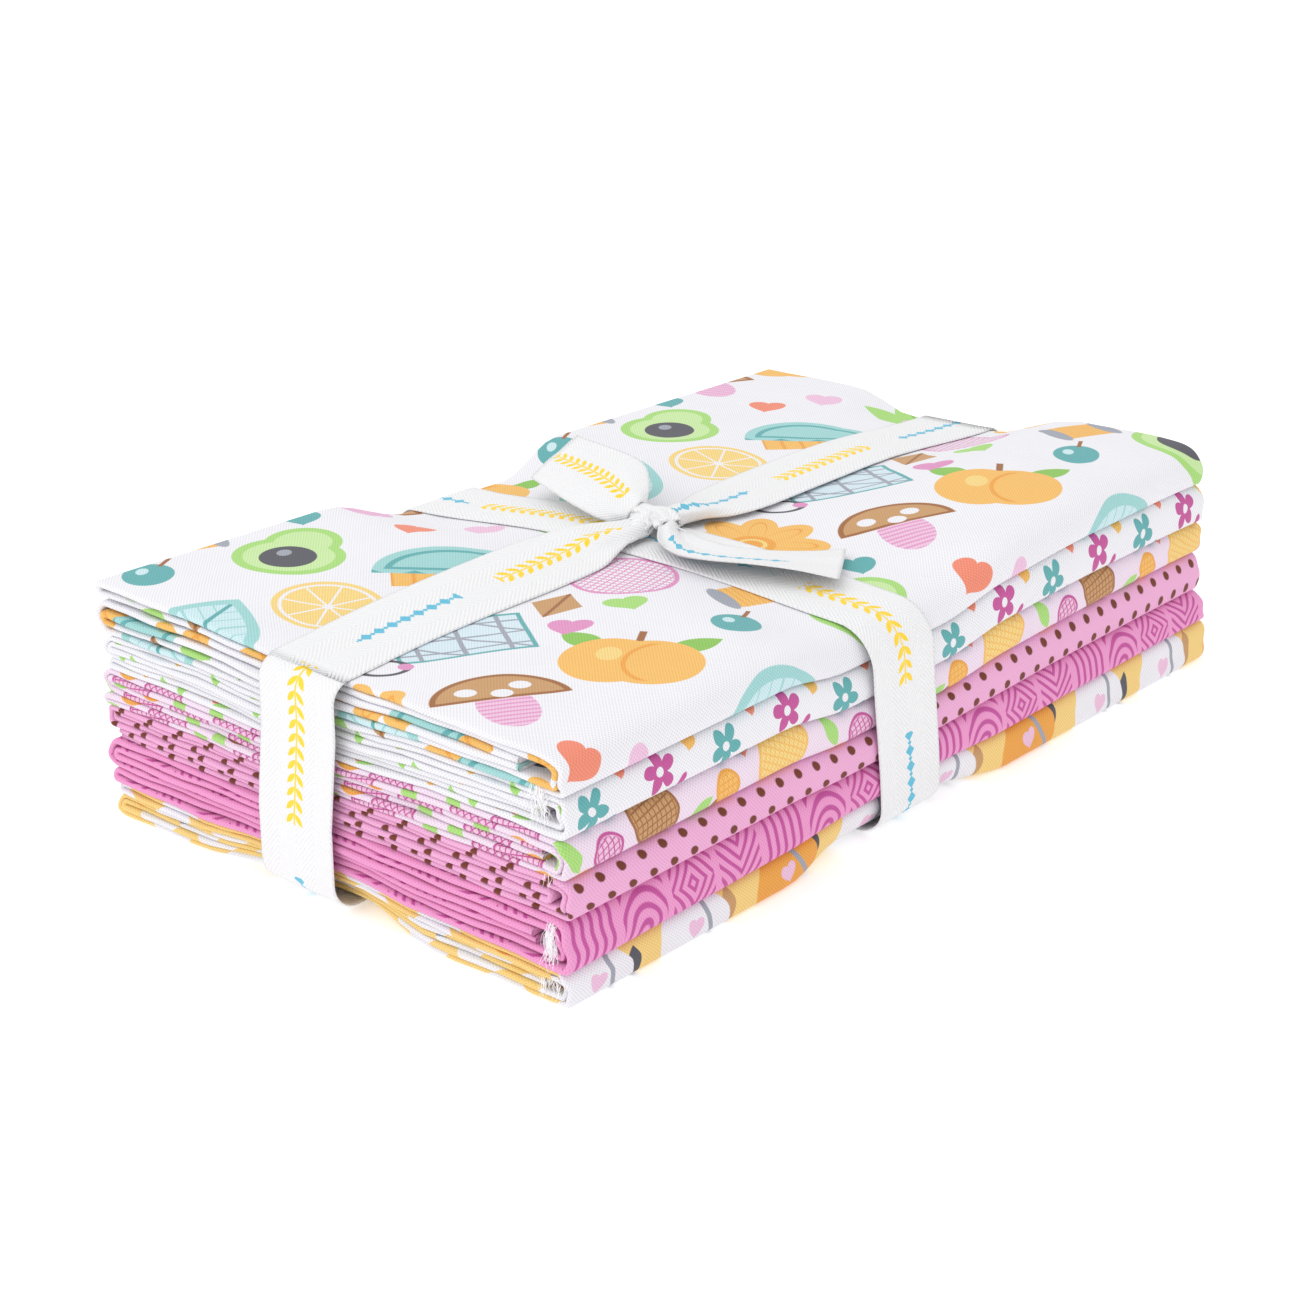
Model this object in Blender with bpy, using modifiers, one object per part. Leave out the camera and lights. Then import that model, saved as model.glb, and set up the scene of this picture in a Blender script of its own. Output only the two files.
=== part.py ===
"""A bundle of six folded lengths of printed quilting cotton, tied crosswise with one white twill tape.

Each length is a strip of four plies in six panels: the strip is folded in half, and the pair then in
three, with one third tucked inside. Its front edge is one round spine, an outer and an inner strip
round the tucked third, and its back edge shows two loops, one of them nested in pairs. The stack is
soft. Every panel follows one height rule, which holds the thickness of each length at the four
corners and the places where the tape pulls in.

Frame: X along the spines, Y from the spines (front) to the loops (back), Z up, with the origin
under the middle of the bundle. Sizes are in metres.
"""

import math
from collections import namedtuple

import bmesh
import bpy
import numpy as np
from mathutils import Matrix

MM = 0.001

# Cloth: 42.5 in of width folded in four, and 36 in of length folded in six panels of 6 in.
LENGTH = 270 * MM
DEPTH = 157 * MM
SHEET = 1.0 * MM
GAP = 0.4 * MM
PANELS = 6

# Tape: 1 in wide, one layer thick.
TAPE_WIDTH = 25.4 * MM
TAPE_COLOUR = (0.93, 0.94, 0.94)
TAPE = 1.0 * MM
TAPE_GAP = 0.45 * MM
LONG_BAND_Y = 5 * MM
LONG_LEFT_TOP_Y = 3.4 * MM
LONG_LEFT_FLOOR_Y = 6.2 * MM
CROSS_TOP_FRONT_X = -14.3 * MM
CROSS_TOP_BACK_X = -17.3 * MM
CROSS_UNDER_FRONT_X = -8 * MM
CROSS_UNDER_BACK_X = -11 * MM
ACROSS = np.linspace(-1, 1, 5)
TOP_CORNER = 5.5 * MM
FLOOR_CORNER = 8 * MM
FRONT_SHOULDER = 11 * MM
CORNER_STEPS = 4

# The knot, in the middle of the top.
KNOT = np.array([-12.5, 2]) * MM
KNOT_HALF = np.array([5.2, 5.2, 3.2]) * MM

# The two arms of the long band on top, from the left edge to the knot and from the knot to the right
# edge, in millimetres: the middle of the tape, half its width, and how much higher its back edge is
# than its front one. The tape is gathered where it reaches the knot, and twists over as it opens.
Arm = namedtuple("Arm", "x middle half tilt")
LEFT_ARM = (
    Arm(-135, 3.4, 12.7, 0.4),
    Arm(-103, 6.0, 12.7, 1.2),
    Arm(-60, 6.4, 12.7, 2.6),
    Arm(-41, 6.4, 11.6, 3.0),
    Arm(-31, 5.8, 8.8, 2.4),
    Arm(-24.5, 4.0, 5.4, 1.2),
    Arm(-18.2, 2.4, 3.4, 0.4),
)
RIGHT_ARM = (
    Arm(-6.8, 2.0, 3.4, 0),
    Arm(-1.5, 2.2, 4.8, -0.6),
    Arm(6, 2.4, 7.6, -1.2),
    Arm(19, 3.4, 12.0, -1.6),
    Arm(46, 4.8, 12.7, -1.4),
    Arm(95, 5.4, 12.7, -0.8),
    Arm(135, 5.0, 12.7, 0),
)

# The order in which the strip passes through the six panels, counted from below. In ENDS_TUCKED both
# cut ends are tucked in behind the spine and the halfway fold is a loop at the back; in FOLD_TUCKED
# it is the other way round. Each fold can also lie upside down.
ENDS_TUCKED = (2, 1, 4, 5, 0, 3)
FOLD_TUCKED = (4, 1, 2, 3, 0, 5)

# One row for each length of cloth, bottom to top, in millimetres. thick is its thickness at the
# front left, front right, back left and back right corner. spine_* is how far its front edge stands
# out at the left and right end, lean how much further out its lower edge is than its upper one,
# shoulder the depth of the round at the top of the spine, tuck how far the tucked third stops short
# of the spine, loop_* how far the back edge stands out, and end_* how far the strip reaches past the
# nominal length.
Cut = namedtuple(
    "Cut",
    "name colour panels turned thick spine_left spine_right lean shoulder tuck "
    "loop_left loop_right end_left end_right",
)
CUTS = (
    Cut("cut_yellow", (0.95, 0.72, 0.30), ENDS_TUCKED, False, (9.1, 12.1, 9.0, 9.6),
        0.8, 3.6, 0.6, 3.0, 7.0, -0.6, 0.0, 0.3, 3.0),
    Cut("cut_hot_pink", (0.84, 0.30, 0.60), ENDS_TUCKED, True, (12.5, 9.1, 12.3, 9.9),
        1.0, 2.8, 2.2, 3.5, 9.5, 0.8, 0.3, 0.8, 2.2),
    Cut("cut_dotted", (0.88, 0.48, 0.70), FOLD_TUCKED, True, (9.8, 11.6, 9.3, 9.8),
        1.2, 1.2, 0.4, 4.2, 5.5, 1.0, -0.4, 0.2, 1.0),
    Cut("cut_lattice", (0.93, 0.74, 0.82), ENDS_TUCKED, True, (10.0, 8.9, 9.6, 9.8),
        0.6, 0.9, 0.2, 4.0, 6.5, 1.4, 0.4, 0.6, 1.1),
    Cut("cut_blossom", (0.89, 0.89, 0.93), ENDS_TUCKED, True, (9.7, 11.2, 9.0, 9.8),
        0.4, 0.8, 0.8, 3.6, 8.0, 0.2, 0.6, 0.1, 0.9),
    Cut("cut_scattered", (0.90, 0.90, 0.95), ENDS_TUCKED, False, (9.8, 11.0, 14.8, 10.2),
        -0.6, -0.2, 1.6, 9.0, 12.0, 1.6, 3.7, 0.5, 0.2),
)
STAGGER = 0.5 * MM
LOWER_ROUND = 2.2 * MM
LOOP_ROUND = 2.4 * MM
CUT_END_BACK = 3.5 * MM
HALFWAY_FOLD_BACK = 0.8 * MM

# The two free ends of the tape, a row for each station from the knot to the cut end: the left and
# right edge as X, Y and height above the cloth, in millimetres. The wide end fans out towards the
# back with its right edge up; the narrow end leaves the knot rolled and opens over the cross band.
Edge = namedtuple("Edge", "left_x left_y left_up right_x right_y right_up")
FREE_END_ARCH = 0.8 * MM
WIDE_END = (
    Edge(-16.0, 7.9, 4.0, -9.0, 7.9, 5.6),
    Edge(-18.6, 16.0, 3.0, -2.0, 12.6, 10.0),
    Edge(-17.3, 25.5, 2.7, 5.4, 20.8, 11.6),
    Edge(-12.3, 38.0, 2.6, 11.8, 33.4, 11.4),
    Edge(-3.7, 54.7, 2.6, 17.4, 56.3, 11.6),
)
NARROW_END = (
    Edge(-17.6, -4.0, 3.4, -10.8, -4.4, 3.8),
    Edge(-23.6, -10.0, 2.7, -14.6, -9.6, 4.2),
    Edge(-26.4, -19.0, 2.6, -12.6, -17.0, 3.8),
    Edge(-21.8, -30.0, 2.6, -8.6, -27.6, 3.6),
    Edge(-14.4, -43.0, 2.6, -1.2, -37.8, 3.2),
    Edge(-8.8, -56.6, 2.6, 8.2, -45.8, 2.6),
)

# How far the tape pulls the top of the stack down where it crosses each edge, and the upper and
# lower edges in towards the middle.
DIP_ALONG = 2 * MM
DIP_BACK = 5.1 * MM
DIP_FRONT = 2.8 * MM
DIP_RIGHT = 3.4 * MM
DIP_LEFT = 0.9 * MM
DIP_REACH = 62 * MM
DIP_FALL = 27 * MM
BULGE = 3.4 * MM
PULL_TOP = 3.2 * MM
PULL_FLOOR = 5.5 * MM
EDGE_REACH = 30 * MM

# Stations where the cloth bends: X along the strip, Y along a panel.
X_STATIONS = np.array([-135, -95, -57, -32, -11, 8, 48, 92, 135]) * MM
Y_STATIONS = np.array([-39, -9, 19, 47]) * MM
TURN_STEPS = 4
NOSE_STEPS = 8


def ease(t):
    """Smooth step from 0 to 1."""
    t = np.clip(t, 0, 1)
    return t * t * (3 - 2 * t)


def between(start, end, share):
    return start + (end - start) * share


def band(v, low, high, fall):
    """1 between low and high, easing to 0 over fall on either side."""
    return ease((v - low + fall) / fall) * ease((high + fall - v) / fall)


def over_long_band(y):
    return band(y, LONG_BAND_Y - TAPE_WIDTH / 2 - MM, LONG_BAND_Y + TAPE_WIDTH / 2 + MM, DIP_FALL)


def over_cross_band(x):
    """The band leans on its way round, so the flat run below and above it is wider than the tape."""
    left = CROSS_TOP_BACK_X - TAPE_WIDTH / 2 - 2 * MM
    right = CROSS_UNDER_FRONT_X + TAPE_WIDTH / 2 + 3 * MM
    return band(x, left, right, DIP_FALL)


def lift_under(x, y):
    """Height of the underside of the cloth, which lies on the floor and on the tape that passes below."""
    over_tape = TAPE + TAPE_GAP
    return over_tape * over_long_band(y) + over_tape * over_cross_band(x)


def dip(x, y):
    """How far the tape pulls the top down: along both bands, and most at the four edges."""
    left = ease((-LENGTH / 2 + DIP_REACH - x) / DIP_REACH)
    right = ease((x - LENGTH / 2 + DIP_REACH) / DIP_REACH)
    front = ease((-DEPTH / 2 + DIP_REACH - y) / DIP_REACH)
    back = ease((y - DEPTH / 2 + DIP_REACH) / DIP_REACH)
    along_x = over_long_band(y) * (DIP_LEFT * left + DIP_RIGHT * right)
    along_y = over_cross_band(x) * (DIP_FRONT * front + DIP_BACK * back)
    either = 1 - (1 - over_long_band(y)) * (1 - over_cross_band(x))
    swell = BULGE * band(x, 80 * MM, 110 * MM, 60 * MM) * band(y, -60 * MM, -40 * MM, 40 * MM)
    return DIP_ALONG * either + along_x + along_y - swell


def stack_heights(x, y):
    """Heights of the seven surfaces that bound the six lengths, as an array with level first."""
    rightwards = x / LENGTH + 0.5
    backwards = y / DEPTH + 0.5
    levels = [np.zeros(np.broadcast(x, y).shape)]
    for cut in CUTS:
        front_left, front_right, back_left, back_right = cut.thick
        front = between(front_left, front_right, rightwards)
        back = between(back_left, back_right, rightwards)
        levels.append(levels[-1] + between(front, back, backwards) * MM)
    heights = np.array(levels)
    under = lift_under(x, y)
    squeeze = 1 - (dip(x, y) + under) / heights[-1]
    return under + heights * squeeze


def pulled_in(value, half, over_tape, level):
    """Moves points near an edge towards the middle, where the tape rounds the upper and lower edges."""
    near_edge = ease((np.abs(value) - half + EDGE_REACH) / EDGE_REACH)
    middle = len(CUTS) / 2
    pull = np.where(level > middle, PULL_TOP, PULL_FLOOR) * (np.abs(level - middle) / middle) ** 4
    return value - np.sign(value) * over_tape * near_edge * pull


def spine(front, cut, pitch, low, high):
    """A strip that goes round the front between two levels, with a deep upper and a tight lower round.

    The outer strip joins the top panel and the bottom one, and the inner one runs parallel to it.
    """
    share = (high - low) / (PANELS - 1)
    inset = low * pitch
    middle = (high + low) / 2 * pitch
    half = (high - low) / 2 * pitch
    points = []
    for angle in np.linspace(0, math.pi, round(NOSE_STEPS * share) + 3):
        upper = angle < math.pi / 2
        deep = share * (cut.shoulder * MM if upper else LOWER_ROUND)
        power = 0.75 if upper else 0.6
        rise = math.copysign(abs(math.cos(angle)) ** power, math.cos(angle))
        out = deep * (1 - abs(math.sin(angle)) ** power)
        points.append((front + inset + out, middle + half * rise))
    return points


def round_turn(edge, side, pitch, low, high):
    """A half-round turn from level low up to level high, which reaches to edge on its side."""
    tall = (high - low) / 2 * pitch
    deep = min(tall, LOOP_ROUND)
    angles = np.linspace(0, math.pi, TURN_STEPS + 1)
    middle = (high + low) / 2 * pitch
    return [(edge - side * deep * (1 - math.sin(a)), middle - tall * math.cos(a)) for a in angles]


def fold(front, back, cut, pitch, at_front, before, after):
    """The points of the turn from one panel to the next, in the order that the strip takes them."""
    low, high = sorted((before, after))
    if at_front and high - low > 1:
        points = spine(front, cut, pitch, low, high)[::-1]
    elif at_front:
        points = round_turn(front + cut.tuck * MM, -1, pitch, low, high)
    else:
        nested = high - low == 1 and low in (1, 3)
        halfway = high - low == 1 and not nested
        points = round_turn(back - pitch * nested - HALFWAY_FOLD_BACK * halfway, 1, pitch, low, high)
    return points if before < after else points[::-1]


def section(cut, share):
    """The folded strip's centre line as rows of (y, level in the cut from 0 to 1).

    share is 0 at the left end and 1 at the right end.
    """
    thick = between(cut.thick[0], cut.thick[1], share) * MM - SHEET - GAP
    pitch = thick / (PANELS - 1)
    front = -DEPTH / 2 - between(cut.spine_left, cut.spine_right, share) * MM + SHEET / 2
    back = DEPTH / 2 + between(cut.loop_left, cut.loop_right, share) * MM - SHEET / 2
    order = [PANELS - 1 - level if cut.turned else level for level in cut.panels]
    backwards = cut.panels is ENDS_TUCKED
    cut_end = front + cut.tuck * MM if backwards else back - CUT_END_BACK
    line = [(cut_end, order[0] * pitch)]
    for number, level in enumerate(order):
        stations = Y_STATIONS if backwards else Y_STATIONS[::-1]
        line += [(y, level * pitch) for y in stations]
        if number < PANELS - 1:
            line += fold(front, back, cut, pitch, not backwards, level, order[number + 1])
            backwards = not backwards
    line.append((cut_end, order[-1] * pitch))
    rows = np.array(line)
    rows[:, 1] /= thick
    rows[:, 0] += cut.lean * MM * (rows[:, 1] - 0.5) * ease((rows[:, 0] - front) / -EDGE_REACH + 1)
    return rows


def cut_points(number, cut):
    """Grid of the strip's centre surface, path first and X second, as an array (path, x, 3)."""
    rows = np.array([section(cut, x / LENGTH + 0.5) for x in X_STATIONS])
    y = rows[:, :, 0].T
    inside = rows[:, :, 1].T
    x = np.broadcast_to(X_STATIONS, y.shape)
    share = x / LENGTH + 0.5
    wave = STAGGER * np.sin(9.4 * inside + 2.1 * number) * (2 * x / LENGTH) ** 3
    ends = between(-cut.end_left, cut.end_right, share) * MM + wave
    low = stack_heights(x, y)[number]
    high = stack_heights(x, y)[number + 1]
    margin_low = (SHEET if number == 0 else SHEET + GAP) / 2
    margin_high = (SHEET + GAP) / 2
    z = low + margin_low + (high - low - margin_low - margin_high) * inside
    level = number + inside
    placed_x = pulled_in(x + ends, LENGTH / 2, over_long_band(y), level)
    placed_y = pulled_in(y, DEPTH / 2, over_cross_band(x), level)
    return np.stack([placed_x, placed_y, z], axis=-1)


def top_surface(x, y):
    """Height of the top of the stack between the stations, as the flat facets of the cloth have it."""
    ys = np.concatenate([[-DEPTH / 2 + 9 * MM], Y_STATIONS, [DEPTH / 2]])
    grid = stack_heights(X_STATIONS[:, None], ys[None, :])[-1]
    columns = np.array([np.interp(y, ys, row) for row in grid])
    return float(np.interp(x, X_STATIONS, columns))


def quarter(centre, radius, start):
    """Points on a quarter circle that turns from the angle start, in degrees, by 90 degrees."""
    angles = np.radians(start + 90 * np.linspace(0, 1, CORNER_STEPS + 1))
    return [(centre[0] + radius * math.cos(a), centre[1] + radius * math.sin(a)) for a in angles]


def on_top(x, y, layers_below=0):
    """Height of the middle of a tape that lies on the stack, or on other layers of tape there."""
    return top_surface(x, y) + (TAPE_GAP + TAPE) * layers_below + TAPE_GAP + TAPE / 2


def arm_rows(arm):
    """Rows of points across one arm of the long band, which climbs over the cross band to the knot."""
    rows = []
    for x, middle, half, tilt in np.array(arm) * MM:
        gathered = 1 - half / (TAPE_WIDTH / 2)
        climb = (TAPE + TAPE_GAP) * band(x, -32 * MM, 1 * MM, 10 * MM) + 1.6 * MM * gathered
        for t in ACROSS:
            y = middle + half * t
            twist = abs(tilt) * (1 + math.copysign(t, tilt)) / 2
            arch = 2.4 * MM * gathered * (1 - t * t)
            rows.append((x, y, on_top(x, y) + twist + arch + climb))
    return rows


def long_band_points(reach):
    """The run over both short ends: its open path starts left of the knot and ends right of it.

    reach is the X of the band's middle on the end faces. On the left end the tape leans.
    """
    rows = arm_rows(LEFT_ARM[::-1])

    def go_round(x, z_of_y, middle=LONG_BAND_Y):
        for t in ACROSS:
            y = middle + TAPE_WIDTH / 2 * t
            rows.append((x, y, z_of_y(y)))

    for out, up in quarter((-reach + TOP_CORNER, -TOP_CORNER), TOP_CORNER, 90)[1:]:
        go_round(out, lambda y: on_top(-LENGTH / 2, y) + up, LONG_LEFT_TOP_Y)
    for z, middle in ((44, LONG_LEFT_TOP_Y), (25, (LONG_LEFT_TOP_Y + LONG_LEFT_FLOOR_Y) / 2)):
        go_round(-reach, lambda y: z * MM, middle)
    for out, up in quarter((-reach + FLOOR_CORNER, FLOOR_CORNER + TAPE / 2), FLOOR_CORNER, 180):
        go_round(out, lambda y: up, LONG_LEFT_FLOOR_Y)
    for x, hop in ((-90, 0), (-40, 0), (-27, 1), (-8, 1), (10, 1), (22, 0), (60, 0), (100, 0)):
        go_round(x * MM, lambda y: TAPE / 2 + hop * (TAPE + TAPE_GAP))
    for out, up in quarter((reach - FLOOR_CORNER, FLOOR_CORNER + TAPE / 2), FLOOR_CORNER, -90):
        go_round(out, lambda y: up)
    for z in (25, 44):
        go_round(reach, lambda y: z * MM)
    for out, up in quarter((reach - TOP_CORNER, -TOP_CORNER), TOP_CORNER, 0)[:-1]:
        go_round(out, lambda y: on_top(LENGTH / 2, y) + up)
    rows += arm_rows(RIGHT_ARM[::-1])
    return np.array(rows).reshape(-1, len(ACROSS), 3)


def cross_band_points(reach):
    """The run over the spines and the loops: a closed ring that passes flat under the knot.

    reach is the Y of the band's middle on the front and back faces. Its rows are (y, z, x of the
    middle); on top z is None, and each point takes the height of the cloth below it.
    """
    top_front = on_top(CROSS_TOP_FRONT_X, -DEPTH / 2)
    top_back = on_top(CROSS_TOP_BACK_X, DEPTH / 2)
    path = [(y * MM, None) for y in (60, 33, 19, 5, -9, -23, -39, -54)]
    path += quarter((-reach + FRONT_SHOULDER, top_front - FRONT_SHOULDER), FRONT_SHOULDER, 90)
    path += [(-reach, 34 * MM), (-reach, 20 * MM)]
    path += quarter((-reach + FLOOR_CORNER, FLOOR_CORNER + TAPE / 2), FLOOR_CORNER, 180)
    path += [(y * MM, TAPE / 2) for y in (-50, -10, 30, 60)]
    path += quarter((reach - FLOOR_CORNER, FLOOR_CORNER + TAPE / 2), FLOOR_CORNER, -90)
    path += [(reach, 20 * MM), (reach, 38 * MM)]
    path += quarter((reach - TOP_CORNER, top_back - TOP_CORNER), TOP_CORNER, 0)
    rows = []
    for y, z in path:
        share = y / (2 * reach) + 0.5
        on_floor = between(CROSS_UNDER_FRONT_X, CROSS_UNDER_BACK_X, share)
        above = between(CROSS_TOP_FRONT_X, CROSS_TOP_BACK_X, share)
        climbed = 1 if z is None else ease(z / top_front)
        for t in ACROSS:
            x = between(on_floor, above, climbed) + TAPE_WIDTH / 2 * t
            rows.append((x, y, on_top(x, y) if z is None else z))
    return np.array(rows).reshape(-1, len(ACROSS), 3)


def through(stations, steps):
    """A smooth line through the stations (Catmull-Rom), with the given steps between each two."""
    padded = np.vstack([2 * stations[0] - stations[1], stations, 2 * stations[-1] - stations[-2]])
    line = []
    for before, start, end, after in zip(padded, padded[1:], padded[2:], padded[3:]):
        for t in np.arange(steps) / steps:
            bend = (2 * before - 5 * start + 4 * end - after) * t * t
            twist = (3 * start - before - 3 * end + after) * t**3
            line.append(start + ((end - before) * t + bend + twist) / 2)
    return np.array(line + [stations[-1]])


def free_end_points(edges):
    """A free end of the tape, ruled between its two edges, a little arched across."""
    line = through(np.array(edges, dtype=float), 2) * MM
    rows = []
    for left_x, left_y, left_up, right_x, right_y, right_up in line:
        for t in ACROSS:
            share = (t + 1) / 2
            x = between(left_x, right_x, share)
            y = between(left_y, right_y, share)
            up = between(left_up, right_up, share) + FREE_END_ARCH * (1 - t * t)
            rows.append((x, y, top_surface(x, y) + up))
    return np.array(rows).reshape(-1, len(ACROSS), 3)


def sheet_object(name, points, thickness, colour, collection, closed=False):
    """A grid of points as an open surface with Solidify. closed joins the last row to the first."""
    rows, columns = points.shape[:2]
    faces = []
    for i in range(rows if closed else rows - 1):
        after = (i + 1) % rows
        forward = points[after, :, 1].mean() > points[i, :, 1].mean()
        for j in range(columns - 1):
            a, b = i * columns + j, after * columns + j
            if forward:
                faces += [(a, b, b + 1), (a, b + 1, a + 1)]
            else:
                faces += [(a, b, a + 1), (b, b + 1, a + 1)]
    mesh = bpy.data.meshes.new(name)
    mesh.from_pydata(points.reshape(-1, 3).tolist(), [], faces)
    mesh.shade_smooth()
    mesh.set_sharp_from_angle(angle=math.radians(50))
    obj = bpy.data.objects.new(name, mesh)
    collection.objects.link(obj)
    obj.data.materials.append(material(name, colour, 0.9))
    shell = obj.modifiers.new("Thickness", "SOLIDIFY")
    shell.thickness = thickness
    shell.offset = 0
    return obj


def material(name, colour, roughness):
    made = bpy.data.materials.new(name)
    made.use_nodes = True
    shader = made.node_tree.nodes["Principled BSDF"]
    shader.inputs["Base Color"].default_value = (*colour, 1)
    shader.inputs["Roughness"].default_value = roughness
    shader.inputs["Metallic"].default_value = 0
    return made


def reach(grid, axis, across, middle, width):
    """How far the cloth reaches along one axis where a band of the given width passes over it."""
    under_band = np.abs(grid[..., across] - middle) < width / 2 + 2 * MM
    return np.abs(grid[..., axis][under_band]).max()


def knot_object(collection):
    """The knot: a small lump of wrapped tape, drawn in round its waist, that sits on the cross band."""
    made = bmesh.new()
    bmesh.ops.create_uvsphere(made, u_segments=16, v_segments=10, radius=1)
    for vert in made.verts:
        x, y, z = vert.co
        waist = 1 - 0.16 * math.exp(-((y / 0.28) ** 2))
        vert.co = (x * waist, y, z * (1 - 0.1 * math.exp(-((x / 0.3) ** 2))))
    mesh = bpy.data.meshes.new("tape_knot")
    made.to_mesh(mesh)
    made.free()
    bottom = on_top(*KNOT, layers_below=1) - TAPE / 2
    mesh.transform(Matrix.Diagonal((*KNOT_HALF, 1)))
    mesh.shade_smooth()
    obj = bpy.data.objects.new("tape_knot", mesh)
    obj.location = (KNOT[0], KNOT[1], bottom + KNOT_HALF[2])
    obj.data.materials.append(material("tape_knot", TAPE_COLOUR, 0.85))
    collection.objects.link(obj)


def main():
    for obj in list(bpy.data.objects):
        bpy.data.objects.remove(obj, do_unlink=True)
    bundle = bpy.data.collections.new("Fabric bundle")
    bpy.context.scene.collection.children.link(bundle)
    grids = [cut_points(number, cut) for number, cut in enumerate(CUTS)]
    clear = SHEET / 2 + TAPE_GAP + TAPE / 2
    reach_x = clear + max(reach(grid, 0, 1, LONG_BAND_Y, TAPE_WIDTH) for grid in grids)
    reach_y = clear + max(reach(grid, 1, 0, CROSS_TOP_FRONT_X, 1.6 * TAPE_WIDTH) for grid in grids)
    for cut, grid in zip(CUTS, grids):
        sheet_object(cut.name, grid, SHEET, cut.colour, bundle)
    sheet_object("tape_long_band", long_band_points(reach_x), TAPE, TAPE_COLOUR, bundle)
    sheet_object("tape_cross_band", cross_band_points(reach_y), TAPE, TAPE_COLOUR, bundle, closed=True)
    sheet_object("tape_wide_end", free_end_points(WIDE_END), TAPE, TAPE_COLOUR, bundle)
    sheet_object("tape_narrow_end", free_end_points(NARROW_END), TAPE, TAPE_COLOUR, bundle)
    knot_object(bundle)


if __name__ == "__main__":
    main()
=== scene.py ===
"""A tied bundle of six folded printed cottons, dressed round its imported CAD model.

Each length of cloth is a strip of four plies, a closed band with round edges that is carried along
the fold path of its CAD solid. The tape is woven herringbone in six pieces: two bands, the two turns
of the knot and two free ends. Lengths are in metres, +Z up, in the frame of the CAD model.
"""

import math
from collections import namedtuple

import bpy
import numpy as np
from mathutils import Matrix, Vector


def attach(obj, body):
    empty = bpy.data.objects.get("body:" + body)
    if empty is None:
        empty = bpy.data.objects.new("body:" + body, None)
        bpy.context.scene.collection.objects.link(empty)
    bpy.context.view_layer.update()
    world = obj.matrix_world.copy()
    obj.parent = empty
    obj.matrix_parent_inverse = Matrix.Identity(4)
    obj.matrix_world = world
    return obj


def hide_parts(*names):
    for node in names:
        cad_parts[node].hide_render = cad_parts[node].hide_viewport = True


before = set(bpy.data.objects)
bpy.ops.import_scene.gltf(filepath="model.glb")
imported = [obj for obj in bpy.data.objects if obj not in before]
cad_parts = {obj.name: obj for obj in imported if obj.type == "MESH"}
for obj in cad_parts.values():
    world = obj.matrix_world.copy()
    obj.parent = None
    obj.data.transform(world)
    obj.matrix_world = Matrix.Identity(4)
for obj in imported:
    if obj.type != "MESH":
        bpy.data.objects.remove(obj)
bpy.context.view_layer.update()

bl_info = {
    "name": "Tied fabric bundle",
    "version": (1, 0, 0),
    "blender": (4, 5, 0),
    "location": "View3D > Sidebar > Bundle",
    "description": "Dresses the bundle of folded prints, its tape and the studio",
    "category": "Object",
}

MM = 0.001

# The stack's rules, as in the solids
LENGTH = 270 * MM
DEPTH = 157 * MM
PANELS = 6
TAPE_WIDTH = 25.4 * MM
LONG_BAND_Y = 5 * MM
LONG_LEFT_TOP_Y = 3.4 * MM
LONG_LEFT_FLOOR_Y = 6.2 * MM
CROSS_TOP_FRONT_X = -14.3 * MM
CROSS_TOP_BACK_X = -17.3 * MM
CROSS_UNDER_FRONT_X = -8 * MM
CROSS_UNDER_BACK_X = -11 * MM
UNDER_TAPE = 1.45 * MM

# Levels of the six panels in the order in which the strip takes them. Either both cut ends are
# tucked in behind the spine, or a fold is, with the cut ends at the back.
ENDS_TUCKED = (2, 1, 4, 5, 0, 3)
FOLD_TUCKED = (4, 1, 2, 3, 0, 5)

# The lengths of cloth from the lowest up, in mm. The thickness is at the front left, front right, back
# left and back right. The spine, the loops and the two ends stand out by their values. The spine leans
# back over its height and is rounded above by its shoulder, and the folds inside lie a tuck behind it.
Cut = namedtuple(
    "Cut",
    "name panels turned thick spine_left spine_right lean shoulder tuck "
    "loop_left loop_right end_left end_right",
)
CUTS = (
    Cut("cut_yellow", ENDS_TUCKED, False, (9.1, 12.1, 9.0, 9.6),
        0.8, 3.6, 0.6, 3.0, 7.0, -0.6, 0.0, 0.3, 3.0),
    Cut("cut_hot_pink", ENDS_TUCKED, True, (12.5, 9.1, 12.3, 9.9),
        1.0, 2.8, 2.2, 3.5, 9.5, 0.8, 0.3, 0.8, 2.2),
    Cut("cut_dotted", FOLD_TUCKED, True, (9.8, 11.6, 9.3, 9.8),
        1.2, 1.2, 0.4, 4.2, 5.5, 1.0, -0.4, 0.2, 1.0),
    Cut("cut_lattice", ENDS_TUCKED, True, (10.0, 8.9, 9.6, 9.8),
        0.6, 0.9, 0.2, 4.0, 6.5, 1.4, 0.4, 0.6, 1.1),
    Cut("cut_blossom", ENDS_TUCKED, True, (9.7, 11.2, 9.0, 9.8),
        0.4, 0.8, 0.8, 3.6, 8.0, 0.2, 0.6, 0.1, 0.9),
    Cut("cut_scattered", ENDS_TUCKED, False, (9.8, 11.0, 14.8, 10.2),
        -0.6, -0.2, 1.6, 9.0, 12.0, 1.6, 3.7, 0.5, 0.2),
)
LOWER_ROUND = 2.2 * MM
LOOP_ROUND = 2.4 * MM
CUT_END_BACK = 3.5 * MM
HALFWAY_FOLD_BACK = 0.8 * MM
STAGGER = 0.5 * MM

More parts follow.
